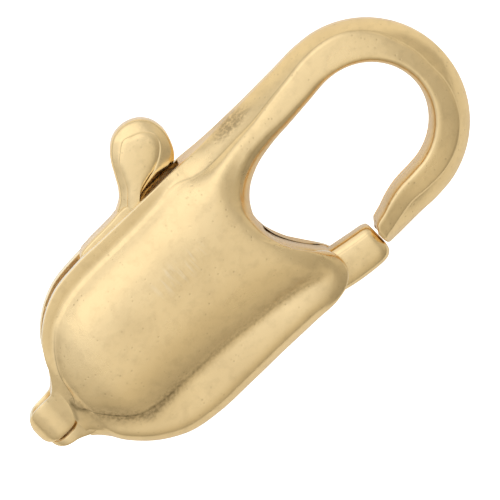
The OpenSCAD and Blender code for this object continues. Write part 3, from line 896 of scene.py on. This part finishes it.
def brush_marks():
    """Short marks across one direction, as a height."""
    name = "Brush marks"
    if name in bpy.data.node_groups:
        return bpy.data.node_groups[name]
    group, inp, out = new_group(name, {"Scale": 1.0}, ("Height",))
    mapping = add(group.nodes, "ShaderNodeMapping")
    mapping.inputs["Rotation"].default_value = (0, 0, BRUSH_TURN)
    mapping.inputs["Scale"].default_value = BRUSH_SCALE
    feed(group, mapping.inputs["Vector"], inp.outputs["Vector"])
    marks = noise(group, mapping.outputs[0], inp.outputs["Scale"], detail=2.0)
    feed(group, out.inputs["Height"], marks)
    return group


# Colours of the painted highlight on cut edges and brush marks, and of the residue flecks in creases
# and the painted shade lines
HIGHLIGHT_GOLD = (1.0, 0.87, 0.62)
RESIDUE_AND_SHADE = (0.18, 0.12, 0.045)
# How much each part of the grain darkens the gold, and from which level
DARKENING = {"Clouds": (0.8, 0.44), "Peel": (0.8, 0.48), "Pits": (0.5, 0.0)}
# How much rougher the polish is where it is cloudy, and where it is filed or soiled
CLOUD_ROUGHNESS, WORN_ROUGHNESS = 0.12, 0.15
# The fine grain makes flecks of residue and dark filed patches, and the brush marks painted glints: strength,
# level
FLECKS, PATCHES, GLINTS = (5.0, 0.42), (4.0, 0.33), (1.5, 0.50)
# How dark the painted shade in a hollow is, how dark a filed patch is, how much residue the flecks hold, and
# how dark the painted shade lines are
HOLLOW_SHADE, FILED_DARK, FLECK_GRIME, SHADE_LINE_DARK = 0.55, 0.85, 0.5, 0.72
# Heights of the brush marks and of the grain in worn places
STROKE_HEIGHT, WORN_HEIGHT = 4.0, 4.5


def tool_marks_and_crease_shade(tree, masks, fine, strokes, dark, height, rough):
    """Darkness, height and roughness with the creases' painted shade and residue, the filed patches and the
    brush marks added.
    """
    dark = plus(tree, dark, scaled(tree, masks["hollow"], HOLLOW_SHADE))
    patches = scaled(tree, scaled(tree, fine, *PATCHES), FILED_DARK)
    dark = plus(tree, dark, math_node(tree, "MULTIPLY", masks["filed"], patches))
    tooled = math_node(tree, "MAXIMUM", masks["filed"], masks["brushed"])
    coarse = math_node(tree, "MAXIMUM", masks["filed"], masks["hollow"])
    for relief, where, share in ((strokes, tooled, STROKE_HEIGHT), (fine, coarse, WORN_HEIGHT)):
        depth = math_node(tree, "MULTIPLY", where, share)
        height = math_node(tree, "MULTIPLY_ADD", relief, depth, height)
    return dark, height, math_node(tree, "MULTIPLY_ADD", coarse, WORN_ROUGHNESS, rough)


def cuts_and_residue(tree, masks, fine, strokes, gold):
    """The gold's colour with painted highlights on cut edges and brush marks, residue flecks in creases, and
    painted shade lines.
    """
    glints = math_node(tree, "MULTIPLY", masks["brushed"], scaled(tree, strokes, *GLINTS))
    gold = over(tree, gold, (*HIGHLIGHT_GOLD, 1), math_node(tree, "MAXIMUM", masks["cut"], glints))
    flecks = math_node(tree, "MULTIPLY", masks["hollow"], scaled(tree, fine, *FLECKS))
    grime_and_shade = plus(tree, scaled(tree, flecks, FLECK_GRIME), scaled(tree, masks["shade_line"], SHADE_LINE_DARK))
    return over(tree, gold, (*RESIDUE_AND_SHADE, 1), grime_and_shade)


def metal(name, colour, shade, roughness, grain, worn=True):
    """Polished gold with pits and, on pieces with the masks, tool marks, residue, painted shade and painted
    highlights.
    """
    material = bpy.data.materials.new(name)
    material.use_nodes = True
    tree = material.node_tree
    nodes, links = tree.nodes, tree.links
    place = nodes.new("ShaderNodeTexCoord").outputs["Object"]
    surface = use_group(tree, casting_grain(), place)
    height, fine = surface["Height"], surface["Fine"]
    dark = 0.0
    for part, (by, low) in DARKENING.items():
        dark = plus(tree, dark, scaled(tree, surface[part], by, low))
    even = roughness - CLOUD_ROUGHNESS / 2
    rough = math_node(tree, "MULTIPLY_ADD", surface["Clouds"], CLOUD_ROUGHNESS, even)
    if worn:
        masks = {m: add(nodes, "ShaderNodeAttribute", attribute_name=m).outputs["Fac"] for m in MASKS}
        strokes = use_group(tree, brush_marks(), place)["Height"]
        dark, height, rough = tool_marks_and_crease_shade(tree, masks, fine, strokes, dark, height, rough)
    gold = over(tree, (*colour, 1), (*shade, 1), dark)
    if worn:
        gold = cuts_and_residue(tree, masks, fine, strokes, gold)
    bump = nodes.new("ShaderNodeBump")
    bump.inputs["Distance"].default_value = grain
    links.new(height, bump.inputs["Height"])
    shader = nodes["Principled BSDF"]
    shader.inputs["Metallic"].default_value = 1.0
    links.new(gold, shader.inputs["Base Color"])
    links.new(rough, shader.inputs["Roughness"])
    links.new(bump.outputs["Normal"], shader.inputs["Normal"])
    return material


# Roughness and grain of the lever as shares of the body's
LEVER_POLISH, LEVER_GRAIN = 0.8, 0.6
# The steel's colour in pits as a share of its own, and its roughness
STEEL_SHADE, STEEL_ROUGHNESS = 0.7, 0.3


def finish(name, colour, shade, roughness, depth=1.0, worn=True):
    """A material that several pieces share, made once."""
    grain = bpy.context.scene.clasp_finish.grain * depth
    return bpy.data.materials.get(name) or metal(name, colour, shade, roughness, grain, worn)


def body_gold():
    s = bpy.context.scene.clasp_finish
    return finish("Body gold", s.gold, s.shade, s.roughness)


def lever_gold():
    s = bpy.context.scene.clasp_finish
    return finish("Lever gold", s.gold, s.shade, LEVER_POLISH * s.roughness, LEVER_GRAIN)


# The pin takes the shade colour all over: a darker copy of the gold, as painted shade between the cheeks
def pin_gold():
    s = bpy.context.scene.clasp_finish
    return finish("Pin gold", s.shade, s.shade, s.roughness, worn=False)


def spring_steel():
    s = bpy.context.scene.clasp_finish
    dark = [STEEL_SHADE * c for c in s.steel]
    return finish("Spring steel", s.steel, dark, STEEL_ROUGHNESS, worn=False)


# The tail eye

def superellipse(count, power):
    """Unit points round a rounded rectangle."""
    points = []
    for k in range(count):
        a = 2 * math.pi * k / count
        c, s = math.cos(a), math.sin(a)
        points.append((math.copysign(abs(c) ** (2 / power), c), math.copysign(abs(s) ** (2 / power), s)))
    return points


def loft(net, name, rings):
    """Closed tube through rings of points, with flat ends."""
    count = len(rings[0])
    for i, ring in enumerate(rings):
        for k, p in enumerate(ring):
            net.point((name, i, k), p)
    keys = [[(name, i, k % count) for k in range(count + 1)] for i in range(len(rings))]
    net.sheet(keys)
    net.face(*keys[0][:-1])
    net.face(*keys[-1][:-1])


# Straps of the eye from under the body's face to the top of the eye: x from the tail end and height of the
# outer face as shares of EYE_R, then the lower and upper edge as shares of HALF_W
STRAP = [
    [2.26, 1.400, 0.144, 0.305], [2.05, 1.345, 0.061, 0.290], [1.935, 1.306, -0.007, 0.272],
    [1.82, 1.262, -0.061, 0.260], [1.71, 1.216, -0.097, 0.247], [1.53, 1.146, -0.119, 0.240],
    [1.31, 1.062, -0.130, 0.237], [1.00, 1.00, -0.137, 0.236],
]
TONGUE = [
    [2.45, 1.10, -0.380, -0.100], [2.10, 1.14, -0.318, -0.054], [1.85, 1.09, -0.318, -0.072],
    [1.61, 0.98, -0.300, -0.128], [1.37, 0.87, -0.278, -0.155], [1.16, 0.80, -0.262, -0.158],
    [1.00, 0.78, -0.256, -0.162],
]
# Edges of the straps on the curl: angle round the eye, 90 at its top and 180 at the tail's end, then the
# lower and upper edge
STRAP_EDGES = [
    [180, -0.020, 0.070], [165, -0.075, 0.135], [150, -0.103, 0.180], [135, -0.119, 0.208],
    [120, -0.131, 0.226], [90, -0.137, 0.236],
]
TONGUE_EDGES = [[180, -0.125, -0.098], [150, -0.190, -0.125], [120, -0.235, -0.155], [90, -0.256, -0.162]]
# Behind the slit the strap is wider: its lower edge there, between which x from the tail end, and how soon
STRAP_BACK, BACK_START, BACK_END = -0.25, 0.12, 0.78
BACK_WIDENS, BACK_NARROWS = 0.25, 0.08
# Sections of a strap for each row of its table, and their angles on the curl past its crown
SECTIONS_PER_ROW = 3
CURL_ANGLES = range(96, 180, 6)
# Number of points and squareness of a strap's section
STRAP_SIDES, STRAP_SQUARENESS = 28, 4
# The strap's inner side gets painted shade and one of its edges a painted highlight, from these places of its
# section
INNER_SHADE, INNER_FROM, HIGHLIGHT_EDGE_FROM = 0.7, -0.9, 0.98
# Radius and thickness of the tongue as shares of the strap's
TONGUE_R, TONGUE_WALL = 0.78, 0.7


def strap_stations(table, edges, radius, back_low=None):
    """Outer side of a strap, x and z, with its lower and upper edge, from the front round to the back."""
    angles = [e[0] for e in edges][::-1]
    limits = [e[1:] for e in edges][::-1]
    stations = []
    for x, z, low, high in smooth_rows(table, SECTIONS_PER_ROW * len(table)):
        stations.append((TAIL_X + x * EYE_R, z * EYE_R, low, high))
    for a in CURL_ANGLES:
        low, high = spline(angles, limits, [a])[0]
        rad = math.radians(a)
        stations.append((radius * math.cos(rad), radius * math.sin(rad), low, high))
    stations.append((-radius, 0, *edges[0][1:]))
    for x, z, low, high in stations[-2::-1]:
        if back_low is not None:
            along = x - TAIL_X
            wide = ramp(along, BACK_START, BACK_START + BACK_WIDENS)
            wide *= ramp(along, BACK_END, BACK_END - BACK_NARROWS)
            low = mix(low, back_low, wide)
        stations.append((x, -z, low, high))
    return stations


def curled_band(net, name, stations, thickness):
    """A strap that leaves the body, curls round the eye and goes back under it."""
    rings = []
    outline = superellipse(STRAP_SIDES, STRAP_SQUARENESS)
    for i, (x, z, low, high) in enumerate(stations):
        before, after = stations[max(i - 1, 0)], stations[min(i + 1, len(stations) - 1)]
        along = Vector((after[0] - before[0], 0, after[1] - before[1])).normalized()
        outward = Vector((along.z, 0, -along.x))
        middle = Vector((x, (low + high) / 2 * HALF_W, z)) - outward * thickness / 2
        rings.append([
            middle + Vector((0, p * (high - low) / 2 * HALF_W, 0)) + outward * q * thickness / 2
            for p, q in outline
        ])
    loft(net, name, rings)
    layers = net.bm.verts.layers.float
    for i in range(len(rings)):
        for k, (p, q) in enumerate(outline):
            vert = net.verts[(name, i, k)]
            # Painted shade on the strap's inner side, and a painted highlight along one of its edges
            vert[layers["shade_line"]] = INNER_SHADE if q < INNER_FROM else 0
            vert[layers["cut"]] = 1.0 if p > HIGHLIGHT_EDGE_FROM else 0


def eye_mesh(settings):
    """The strap that curls round the eye, and the tongue beside it."""
    net = Net()
    wall = settings.eye_wall / MM
    strap = strap_stations(STRAP, STRAP_EDGES, EYE_R, back_low=STRAP_BACK)
    tongue = strap_stations(TONGUE, TONGUE_EDGES, TONGUE_R * EYE_R)
    curled_band(net, "strap", strap, wall)
    curled_band(net, "tongue", tongue, TONGUE_WALL * wall)
    return net.bm


# The lever

# Half the thickness of the plate and the gate, and of the knob
LEVER_HALF_T = 0.6
KNOB_HALF_T = LEVER_HIGH.z
# Radius of the plate's rounded edges, and the angles of its rings from the face to the side
PLATE_ROUND = 0.07
PLATE_ANGLES = (90, 60, 30, 0)
# Numbers of points round the plate and the knob
PLATE_PLACES, KNOB_PLACES = 240, 120
# The gate starts this far past the end of the spine
GATE_PAST_SPINE = 0.06
GATE_IN = NECK_X + CHEEK[SPINE_ROW].back_x * BODY_L + GATE_PAST_SPINE
GATE_LEN = LEVER_HIGH.x - GATE_IN

# Knob from its neck's left side over the top to its underside: the silhouette, then the edge of its raised
# teardrop face. All are x from the tail end and y.
KNOB = [
    [5.52, 2.78, 5.92, 2.55], [5.72, 2.95, 5.99, 2.77], [5.96, 3.09, 6.13, 2.95], [6.15, 3.29, 6.35, 3.165],
    [6.35, 3.64, 6.53, 3.49], [6.55, 4.00, 6.70, 3.84], [6.77, 4.27, 6.96, 4.07], [7.07, 4.47, 7.20, 4.21],
    [7.46, 4.51, 7.46, 4.13], [7.83, 4.38, 7.70, 4.02], [8.07, 4.13, 7.85, 3.87], [8.18, 3.73, 7.91, 3.68],
    [8.10, 3.31, 7.78, 3.42], [7.97, 3.05, 7.56, 3.24], [7.79, 2.86, 7.28, 3.10], [7.36, 2.81, 7.04, 3.03],
    [6.96, 2.78, 6.70, 2.94], [6.58, 2.72, 6.43, 2.83], [6.32, 2.58, 6.23, 2.62],
]
# Thickness at the knob's top as a share of that at its neck
KNOB_TIP_SHARE = 0.82
# Middle line of the teardrop face
KNOB_AXIS = [(6.05, 2.45), (7.42, 3.72)]
# Rings of the knob from its seam: way from the silhouette, 0, to the face's edge, 1, and the middle line, 2,
# then the height as a share of half the thickness
KNOB_RINGS = [
    [0.00, 0.00], [0.00, 0.40], [0.02, 0.54], [0.06, 0.63], [0.13, 0.70], [0.30, 0.745], [0.50, 0.795],
    [0.70, 0.845], [0.88, 0.885], [0.96, 0.893], [1.00, 0.884], [1.04, 0.896], [1.12, 0.925], [1.30, 0.960],
    [1.55, 0.985], [1.80, 0.998], [2.00, 1.00],
]
# Plate between the cheeks, round from the boss at the pin: x from the tail end and y
PLATE = [
    [5.86, -2.37], [5.30, -1.95], [5.22, -1.45], [4.80, -0.40], [4.25, 0.90], [4.02, 1.90], [4.05, 2.55],
    [4.28, 2.82], [4.65, 2.875], [5.10, 2.885], [5.50, 2.90], [5.80, 2.93], [6.05, 2.90], [6.25, 2.66],
    [6.55, 2.34], [7.10, 2.20], [7.55, 1.90], [7.70, 1.20], [7.92, 0.50], [8.14, -0.05], [8.31, -0.62],
    [8.545, -1.06], [8.885, -1.51], [9.07, -1.73], [9.09, -2.05], [8.80, -2.32], [8.30, -2.41], [6.60, -2.43],
]


def to_frame(x, y):
    """A place given from the tail end, in the frame."""
    return x + TAIL_X, y


def smooth_loop(points, count):
    """Evenly spaced smooth curve through a closed run of points."""
    loop = np.vstack([points[-2:], points, points[:3]])
    knots = np.concatenate([[0], np.cumsum(np.linalg.norm(np.diff(loop[:, :2], axis=0), axis=1))])
    return spline(knots, loop, np.linspace(knots[2], knots[len(points) + 2], count, endpoint=False))


def plate_rings():
    """Flat plate with rounded edges."""
    outline = smooth_loop(np.array([to_frame(*p) for p in PLATE]), PLATE_PLACES)
    ahead, behind = np.roll(outline, -1, axis=0), np.roll(outline, 1, axis=0)
    along = (ahead - behind) / np.linalg.norm(ahead - behind, axis=1)[:, None]
    inward = np.column_stack([along[:, 1], -along[:, 0]])
    rings = []
    for a in np.radians(PLATE_ANGLES):
        inset, drop = PLATE_ROUND * (1 - math.cos(a)), PLATE_ROUND * (1 - math.sin(a))
        rings.append([(*q, LEVER_HALF_T - drop) for q in outline + inward * inset])
    return rings + [[(x, y, -z) for x, y, z in ring] for ring in rings[::-1]]


def knob_rings():
    """Bevelled silhouette with a raised teardrop face, the same on the front and the back."""
    table = smooth_loop(np.array(KNOB), KNOB_PLACES)
    (ax, ay), (bx, by) = KNOB_AXIS
    rings = []
    low, high = table[:, 1].min(), table[:, 1].max()
    for way, height in KNOB_RINGS[::-1]:
        ring = []
        for ox, oy, ix, iy in table:
            t = way_along(ix, iy, *KNOB_AXIS)
            if way <= 1:
                x, y = mix(ox, ix, way), mix(oy, iy, way)
            else:
                x, y = mix(ix, mix(ax, bx, t), way - 1), mix(iy, mix(ay, by, t), way - 1)
            thin = mix(1, KNOB_TIP_SHARE, max((y - low) / (high - low), 0) ** 2)
            ring.append((*to_frame(x, y), KNOB_HALF_T * height * thin))
        rings.append(ring)
    return rings + [[(x, y, -z) for x, y, z in ring] for ring in rings[-2::-1]]


# Gate from inside the body to its end: share of GATE_LEN from the end of the spine, top and bottom edge as
# shares of HALF_W, share of the thickness
GATE = [
    [-0.20, -0.600, -0.860, 0.90], [0.00, -0.604, -0.995, 1.00], [0.10, -0.610, -1.032, 1.00],
    [0.33, -0.632, -1.067, 1.00], [0.55, -0.658, -1.087, 1.00], [0.72, -0.678, -1.097, 0.99],
    [0.83, -0.690, -1.098, 0.98], [0.91, -0.700, -1.086, 0.95], [0.97, -0.716, -1.057, 0.88],
    [0.99, -0.730, -1.032, 0.80], [1.00, -0.752, -1.000, 0.70],
]
# Half of the gate's section, from its top edge round the front: shares of half the width and thickness
GATE_SIDE = [
    [1.00, 0.00], [0.995, 0.40], [0.97, 0.60], [0.90, 0.73], [0.78, 0.83], [0.66, 0.905], [0.58, 0.93],
    [0.48, 0.96], [0.20, 0.995], [-0.15, 1.00], [-0.50, 0.975], [-0.76, 0.88], [-0.92, 0.68], [-0.985, 0.40],
    [-1.00, 0.00],
]
# Numbers of rings between two rows of GATE, and of points for each row of GATE_SIDE
GATE_RINGS, GATE_POINTS = 5, 3


def gate_rings():
    """Rounded bar with a bevel along its top edge."""
    side = smooth_rows(GATE_SIDE, GATE_POINTS * len(GATE_SIDE))
    loop = [tuple(q) for q in side] + [(p, -q) for p, q in side[-2:0:-1]]
    rings = []
    for way, top, bottom, thick in smooth_rows(GATE, GATE_RINGS * (len(GATE) - 1) + 1):
        x = GATE_IN + way * GATE_LEN
        y, half = (top + bottom) / 2 * HALF_W, (top - bottom) / 2 * HALF_W
        rings.append([(x, y + half * p, LEVER_HALF_T * thick * q) for p, q in loop])
    return rings


def lever_mesh():
    """Plate, knob and gate."""
    net = Net()
    loft(net, "plate", plate_rings())
    loft(net, "knob", knob_rings())
    loft(net, "gate", gate_rings())
    return net.bm


# The spring

# The bend: its radius, where its middle lies as a share of BODY_L and how far past that as a share of the
# radius, and its angles
BEND_R = 0.85
BEND_WAY = 0.427
BEND_PAST = 0.24
BEND_ANGLES = range(270, 134, -9)
# The strip starts this far before the pin, and its straight leg has sections at these shares
SEAT_WAY = 0.9
LEG_STOPS = (0.25, 0.5, 0.75, 1)
STRIP_SIDES, STRIP_SQUARENESS = 16, 6


def spring_path(settings):
    """Middle line of the strip: from the seat under the pin, round the bend, to the lever."""
    half = settings.strip / MM / 2
    leg_y = SPRING_LOW.y + half
    bend_mid = Vector((NECK_X + BEND_WAY * BODY_L + BEND_PAST * BEND_R, leg_y + BEND_R))
    path = [Vector((PIVOT_X - SEAT_WAY, leg_y))]
    for a in np.radians(BEND_ANGLES):
        path.append(bend_mid + BEND_R * Vector((math.cos(a), math.sin(a))))
    end = Vector((SPRING_HIGH.x - half, SPRING_HIGH.y - half))
    return path + [path[-1].lerp(end, t) for t in LEG_STOPS]


def spring_mesh(settings):
    """Hairpin strip along the spring's path."""
    half = settings.strip / MM / 2
    path = spring_path(settings)
    outline = superellipse(STRIP_SIDES, STRIP_SQUARENESS)
    net = Net()
    rings = []
    for i, p in enumerate(path):
        along = (path[min(i + 1, len(path) - 1)] - path[max(i - 1, 0)]).normalized()
        side = Vector((-along.y, along.x)) * half
        rings.append([(*(p + side * q), SPRING_HIGH.z * w) for w, q in outline])
    loft(net, "strip", rings)
    return net.bm


# Settings

def a_number(name, description, default, **limits):
    return FloatProperty(name=name, description=description, default=default, **limits)


def a_length(name, description, default):
    return FloatProperty(name=name, description=description, default=default, unit="LENGTH")


def an_angle(name, description, degrees):
    return FloatProperty(name=name, description=description, default=math.radians(degrees), subtype="ANGLE")


def a_colour(name, description, default):
    return FloatVectorProperty(name=name, description=description, default=default, subtype="COLOR")


class ClaspBodySettings(bpy.types.PropertyGroup):
    wall: a_length("Cheek wall", "Thickness of the cheeks", 0.0005)
    spine: a_length("Spine", "Thickness of the spine", 0.000385)
    rim_round: a_length("Rim rounding", "Rounding of the cut edges", 0.00004)
    tip_round: a_length("Tip rounding", "Rounding of the hook's tip", 0.00009)
    lip_dip: a_number("Lip dip", "Depth of the valley behind the lip, as a share of the height there", 0.05)
    lip_fillet: a_length("Lip fillet", "Reach of the fillet at the lip", 0.00011)
    crease_fillet: a_length("Crease fillet", "Reach of the fillet at the crease", 0.00016)
    fullness: a_number("Dome fullness", "2 is a round dome, more is flatter", 2.3)
    ledge_crown: a_length("Ledge crown", "Height of the ledge's crown", 0.00015)
    root_blend: a_length("Root blending", "Reach of the blending at the root", 0.0008)
    throat_roll: a_length("Throat rounding", "Width of the rounding into the throat", 0.00055)
    throat_turn: an_angle("Throat turn", "Angle that the face turns through at the throat", 62)
    spacing: a_length("Row spacing", "Distance between the rows of the mesh", 0.00009)
    eye_wall: a_length("Eye wall", "Thickness of the curled strap", 0.0002)
    strip: a_length("Spring strip", "Thickness of the spring's strip", 0.00014)


class ClaspFinishSettings(bpy.types.PropertyGroup):
    gold: a_colour("Gold", "Colour of the polished gold", (0.94, 0.675, 0.315))
    shade: a_colour("Shade", "Colour of the gold in hollows and pits", (0.51, 0.358, 0.165))
    steel: a_colour("Steel", "Colour of the spring", (0.60, 0.58, 0.54))
    roughness: a_number("Roughness", "Roughness of the polish", 0.29, min=0, max=1)
    grain: a_length("Grain depth", "Depth of the pits and marks", 0.0000055)


class ClaspStageSettings(bpy.types.PropertyGroup):
    lean_y: an_angle("Camera lean Y", "Lean of the view toward +Y", 7)
    lean_x: an_angle("Camera lean X", "Lean of the view toward +X", 2.5)
    turn: an_angle("Camera turn", "Angle of the clasp in the picture", 44)
    distance: a_length("Camera distance", "Distance of the camera", 0.25)
    field: a_length("Field width", "Width of the picture at the clasp", 0.01337)


# Operators

class ClaspAddBody(bpy.types.Operator):
    """Adds the hollow cheeks and the hook"""
    bl_idname = "clasp.add_body"
    bl_label = "Add body"

    def execute(self, context):
        bm = body_mesh(context.scene.clasp_body)
        piece = make_object("cheeks_and_hook", bm, body_gold(), "body")
        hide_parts("hook_body")
        return {"FINISHED"}


class ClaspAddEye(bpy.types.Operator):
    """Adds the curled strap of the tail eye"""
    bl_idname = "clasp.add_eye"
    bl_label = "Add tail eye"

    def execute(self, context):
        bm = eye_mesh(context.scene.clasp_body)
        piece = make_object("tail_eye", bm, body_gold(), "body")
        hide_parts("hook_body")
        return {"FINISHED"}


class ClaspAddLever(bpy.types.Operator):
    """Adds the lever with its knob and gate"""
    bl_idname = "clasp.add_lever"
    bl_label = "Add lever"

    def execute(self, context):
        piece = make_object("lever", lever_mesh(), lever_gold(), "lever")
        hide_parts("thumb_lever")
        return {"FINISHED"}


# Where the strip's blend from body to lever starts: share of BODY_L, and y from the spring's lowest side
SPRING_BLEND_X, SPRING_BLEND_Y = 0.2, 0.9


class ClaspAddSpring(bpy.types.Operator):
    """Adds the spring strip, which bends between the body and the lever"""
    bl_idname = "clasp.add_spring"
    bl_label = "Add spring"

    def execute(self, context):
        bm = spring_mesh(context.scene.clasp_body)
        piece = make_object("spring_strip", bm, spring_steel(), None)
        start = Vector((NECK_X + SPRING_BLEND_X * BODY_L, SPRING_LOW.y + SPRING_BLEND_Y, 0)) * MM
        end = Vector((SPRING_HIGH.x, SPRING_HIGH.y, 0)) * MM
        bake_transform(piece, "body", "lever", start=start, end=end)
        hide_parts("spring")
        return {"FINISHED"}


class ClaspFinishPin(bpy.types.Operator):
    """Gives the pivot pin its gold"""
    bl_idname = "clasp.finish_pin"
    bl_label = "Finish pin"

    def execute(self, context):
        pin = frame["nodes"]["pivot_pin"]
        pin.data.materials.clear()
        pin.data.materials.append(pin_gold())
        return {"FINISHED"}


# The table's side, its colours, and its glow in reflections, a painted light brighter toward +Y: between
# which y in metres, and how bright
TABLE_SIDE = 1.2
TABLE_WHITE, TABLE_GLOW = (0.75, 0.75, 0.74, 1), (1, 1, 0.98, 1)
TABLE_ROUGHNESS = 0.8
GLOW_SPAN, GLOW_LEVELS = (-0.003, 0.005), (0.25, 0.34)


def add_floor():
    """White table under the clasp: plain white to the camera; in the metal's reflections softly lit, with a
    painted glow brighter toward +Y.
    """
    bpy.ops.mesh.primitive_plane_add(size=TABLE_SIDE, location=(0, 0, CAD_LOW.z))
    floor = bpy.context.object
    floor.name = "table"
    material = bpy.data.materials.new("White table")
    material.use_nodes = True
    tree = material.node_tree
    shader = tree.nodes["Principled BSDF"]
    shader.inputs["Base Color"].default_value = TABLE_WHITE
    shader.inputs["Roughness"].default_value = TABLE_ROUGHNESS
    shader.inputs["Specular IOR Level"].default_value = 0.0
    shader.inputs["Emission Color"].default_value = TABLE_GLOW
    path = tree.nodes.new("ShaderNodeLightPath")
    place = tree.nodes.new("ShaderNodeTexCoord")
    split = tree.nodes.new("ShaderNodeSeparateXYZ")
    tree.links.new(place.outputs["Object"], split.inputs[0])
    # Painted light in reflections: the table glows brighter toward +Y
    reflected = eased(tree, split.outputs["Y"], GLOW_SPAN, GLOW_LEVELS)
    glow = math_node(tree, "ADD", path.outputs["Is Camera Ray"], reflected)
    tree.links.new(glow, shader.inputs["Emission Strength"])
    floor.data.materials.append(material)


# Brightness of the tent by how far a direction turns to the light: share of the way round from the far side
TENT = [(0.0, 0.53), (0.34, 0.60), (0.52, 0.68), (0.68, 0.79), (0.80, 0.87), (0.90, 0.96), (1.0, 1.01)]
TENT_LIGHT = (-0.20, 0.76, 0.62)
# The tent gets cooler above this brightness: how much, and the green's part in it
COOL_FROM, COOL_BY, COOL_GREEN = 0.68, 0.95, 0.3
# Dimmer band above the table: between which heights of a direction, and how bright
BAND_SPAN, BAND_LEVELS = (0.02, 0.30), (0.50, 1.0)
# Dimmer and brighter stretches toward the clasp's ends: their direction, from and to, and the share beyond
TENT_ENDS = [
    ((1, -0.3, 0), (0.17, 0.44), 0.67),
    ((1, 0, 0), (0.42, 0.90), 1.55),
    ((-1, 0, 0), (0.30, 0.80), 0.78),
]


def facing(tree, place, way):
    """How far a place lies in a direction."""
    node = add(tree.nodes, "ShaderNodeVectorMath", operation="DOT_PRODUCT")
    node.inputs[1].default_value = way
    tree.links.new(place, node.inputs[0])
    return node.outputs["Value"]


def add_world():
    """Soft white tent: brightest from +Y, darker toward -Y and +X, with a dimmer band above the table."""
    world = bpy.data.worlds.new("Tent")
    bpy.context.scene.world = world
    world.use_nodes = True
    tree = world.node_tree
    nodes, links = tree.nodes, tree.links
    place = nodes.new("ShaderNodeTexCoord").outputs["Generated"]
    to_light = math_node(tree, "ADD", facing(tree, place, TENT_LIGHT), 1.0)
    shades = nodes.new("ShaderNodeValToRGB")
    while len(shades.color_ramp.elements) < len(TENT):
        shades.color_ramp.elements.new(0.5)
    for element, (at, value) in zip(shades.color_ramp.elements, TENT):
        element.position = at
        cool = 1 + COOL_BY * max(value - COOL_FROM, 0)
        element.color = (value, value * cool ** COOL_GREEN, value * cool, 1)
    links.new(math_node(tree, "MULTIPLY", to_light, 0.5), shades.inputs["Fac"])
    split = nodes.new("ShaderNodeSeparateXYZ")
    links.new(place, split.inputs[0])
    strength = eased(tree, split.outputs["Z"], BAND_SPAN, BAND_LEVELS)
    for way, span, beyond in TENT_ENDS:
        end = eased(tree, facing(tree, place, way), span, (1.0, beyond))
        strength = math_node(tree, "MULTIPLY", strength, end)
    background = nodes["Background"]
    links.new(shades.outputs["Color"], background.inputs["Color"])
    links.new(strength, background.inputs["Strength"])


# The softbox: its place in metres, its sides and its power
SOFTBOX_PLACE = Vector((-0.02, 0.26, 0.26))
SOFTBOX_SIDES = (0.30, 0.20)
SOFTBOX_POWER = 0.045


def add_light():
    """Large soft light over the clasp from +Y."""
    data = bpy.data.lights.new("Softbox", "AREA")
    data.shape = "RECTANGLE"
    data.size, data.size_y = SOFTBOX_SIDES
    data.energy = SOFTBOX_POWER
    light = bpy.data.objects.new("Softbox", data)
    bpy.context.scene.collection.objects.link(light)
    light.location = SOFTBOX_PLACE
    light.rotation_euler = (-SOFTBOX_PLACE).to_track_quat("-Z", "Y").to_euler()


# The point that the camera looks at, in millimetres, the width of its film, and how near and far it sees
CAMERA_TARGET = Vector((6.987, -0.209, 1.0))
FILM_WIDTH = 36
NEAREST, FARTHEST = 0.01, 10


def add_camera(settings):
    """Long lens at the photo's angle, turned so that the clasp lies across the picture."""
    view = Vector((math.sin(settings.lean_x), math.sin(settings.lean_y), 1)).normalized()
    across = (Vector((1, 0, 0)) - view * view.x).normalized()
    right = across * math.cos(settings.turn) - view.cross(across) * math.sin(settings.turn)
    up = view.cross(right)
    data = bpy.data.cameras.new("Camera")
    data.sensor_width = FILM_WIDTH
    data.lens = FILM_WIDTH * settings.distance / settings.field
    data.clip_start, data.clip_end = NEAREST, FARTHEST
    camera = bpy.data.objects.new("Camera", data)
    bpy.context.scene.collection.objects.link(camera)
    rotation = Matrix((right, up, view)).transposed().to_4x4()
    camera.matrix_world = Matrix.Translation(CAMERA_TARGET * MM + view * settings.distance) @ rotation
    bpy.context.scene.camera = camera


class ClaspSetStage(bpy.types.Operator):
    """Adds the table, the light and the camera"""
    bl_idname = "clasp.set_stage"
    bl_label = "Set stage"

    def execute(self, context):
        add_floor()
        add_world()
        add_light()
        add_camera(context.scene.clasp_stage)
        context.scene.view_settings.view_transform = "Standard"
        return {"FINISHED"}


# The panel's buttons, in the order in which main runs them
STEPS = (ClaspSetStage, ClaspAddBody, ClaspAddEye, ClaspAddLever, ClaspAddSpring, ClaspFinishPin)


class ClaspPanel(bpy.types.Panel):
    bl_idname = "VIEW3D_PT_clasp"
    bl_label = "Lobster clasp"
    bl_space_type = "VIEW_3D"
    bl_region_type = "UI"
    bl_category = "Clasp"

    def draw(self, context):
        for step in STEPS:
            self.layout.operator(step.bl_idname)
        for group in (context.scene.clasp_body, context.scene.clasp_finish, context.scene.clasp_stage):
            box = self.layout.box()
            for name in group.__annotations__:
                box.prop(group, name)


SETTINGS = {
    "clasp_body": ClaspBodySettings,
    "clasp_finish": ClaspFinishSettings,
    "clasp_stage": ClaspStageSettings,
}


def register():
    for cls in (*SETTINGS.values(), *STEPS, ClaspPanel):
        bpy.utils.register_class(cls)
    for name, cls in SETTINGS.items():
        setattr(bpy.types.Scene, name, PointerProperty(type=cls))


def unregister():
    for name in SETTINGS:
        delattr(bpy.types.Scene, name)
    for cls in (ClaspPanel, *reversed(STEPS), *reversed(SETTINGS.values())):
        bpy.utils.unregister_class(cls)


def main():
    register()
    bpy.ops.clasp.set_stage()
    bpy.ops.clasp.add_body()
    bpy.ops.clasp.add_eye()
    bpy.ops.clasp.add_lever()
    bpy.ops.clasp.add_spring()
    bpy.ops.clasp.finish_pin()
    bpy.context.view_layer.update()


if __name__ == "__main__":
    main()
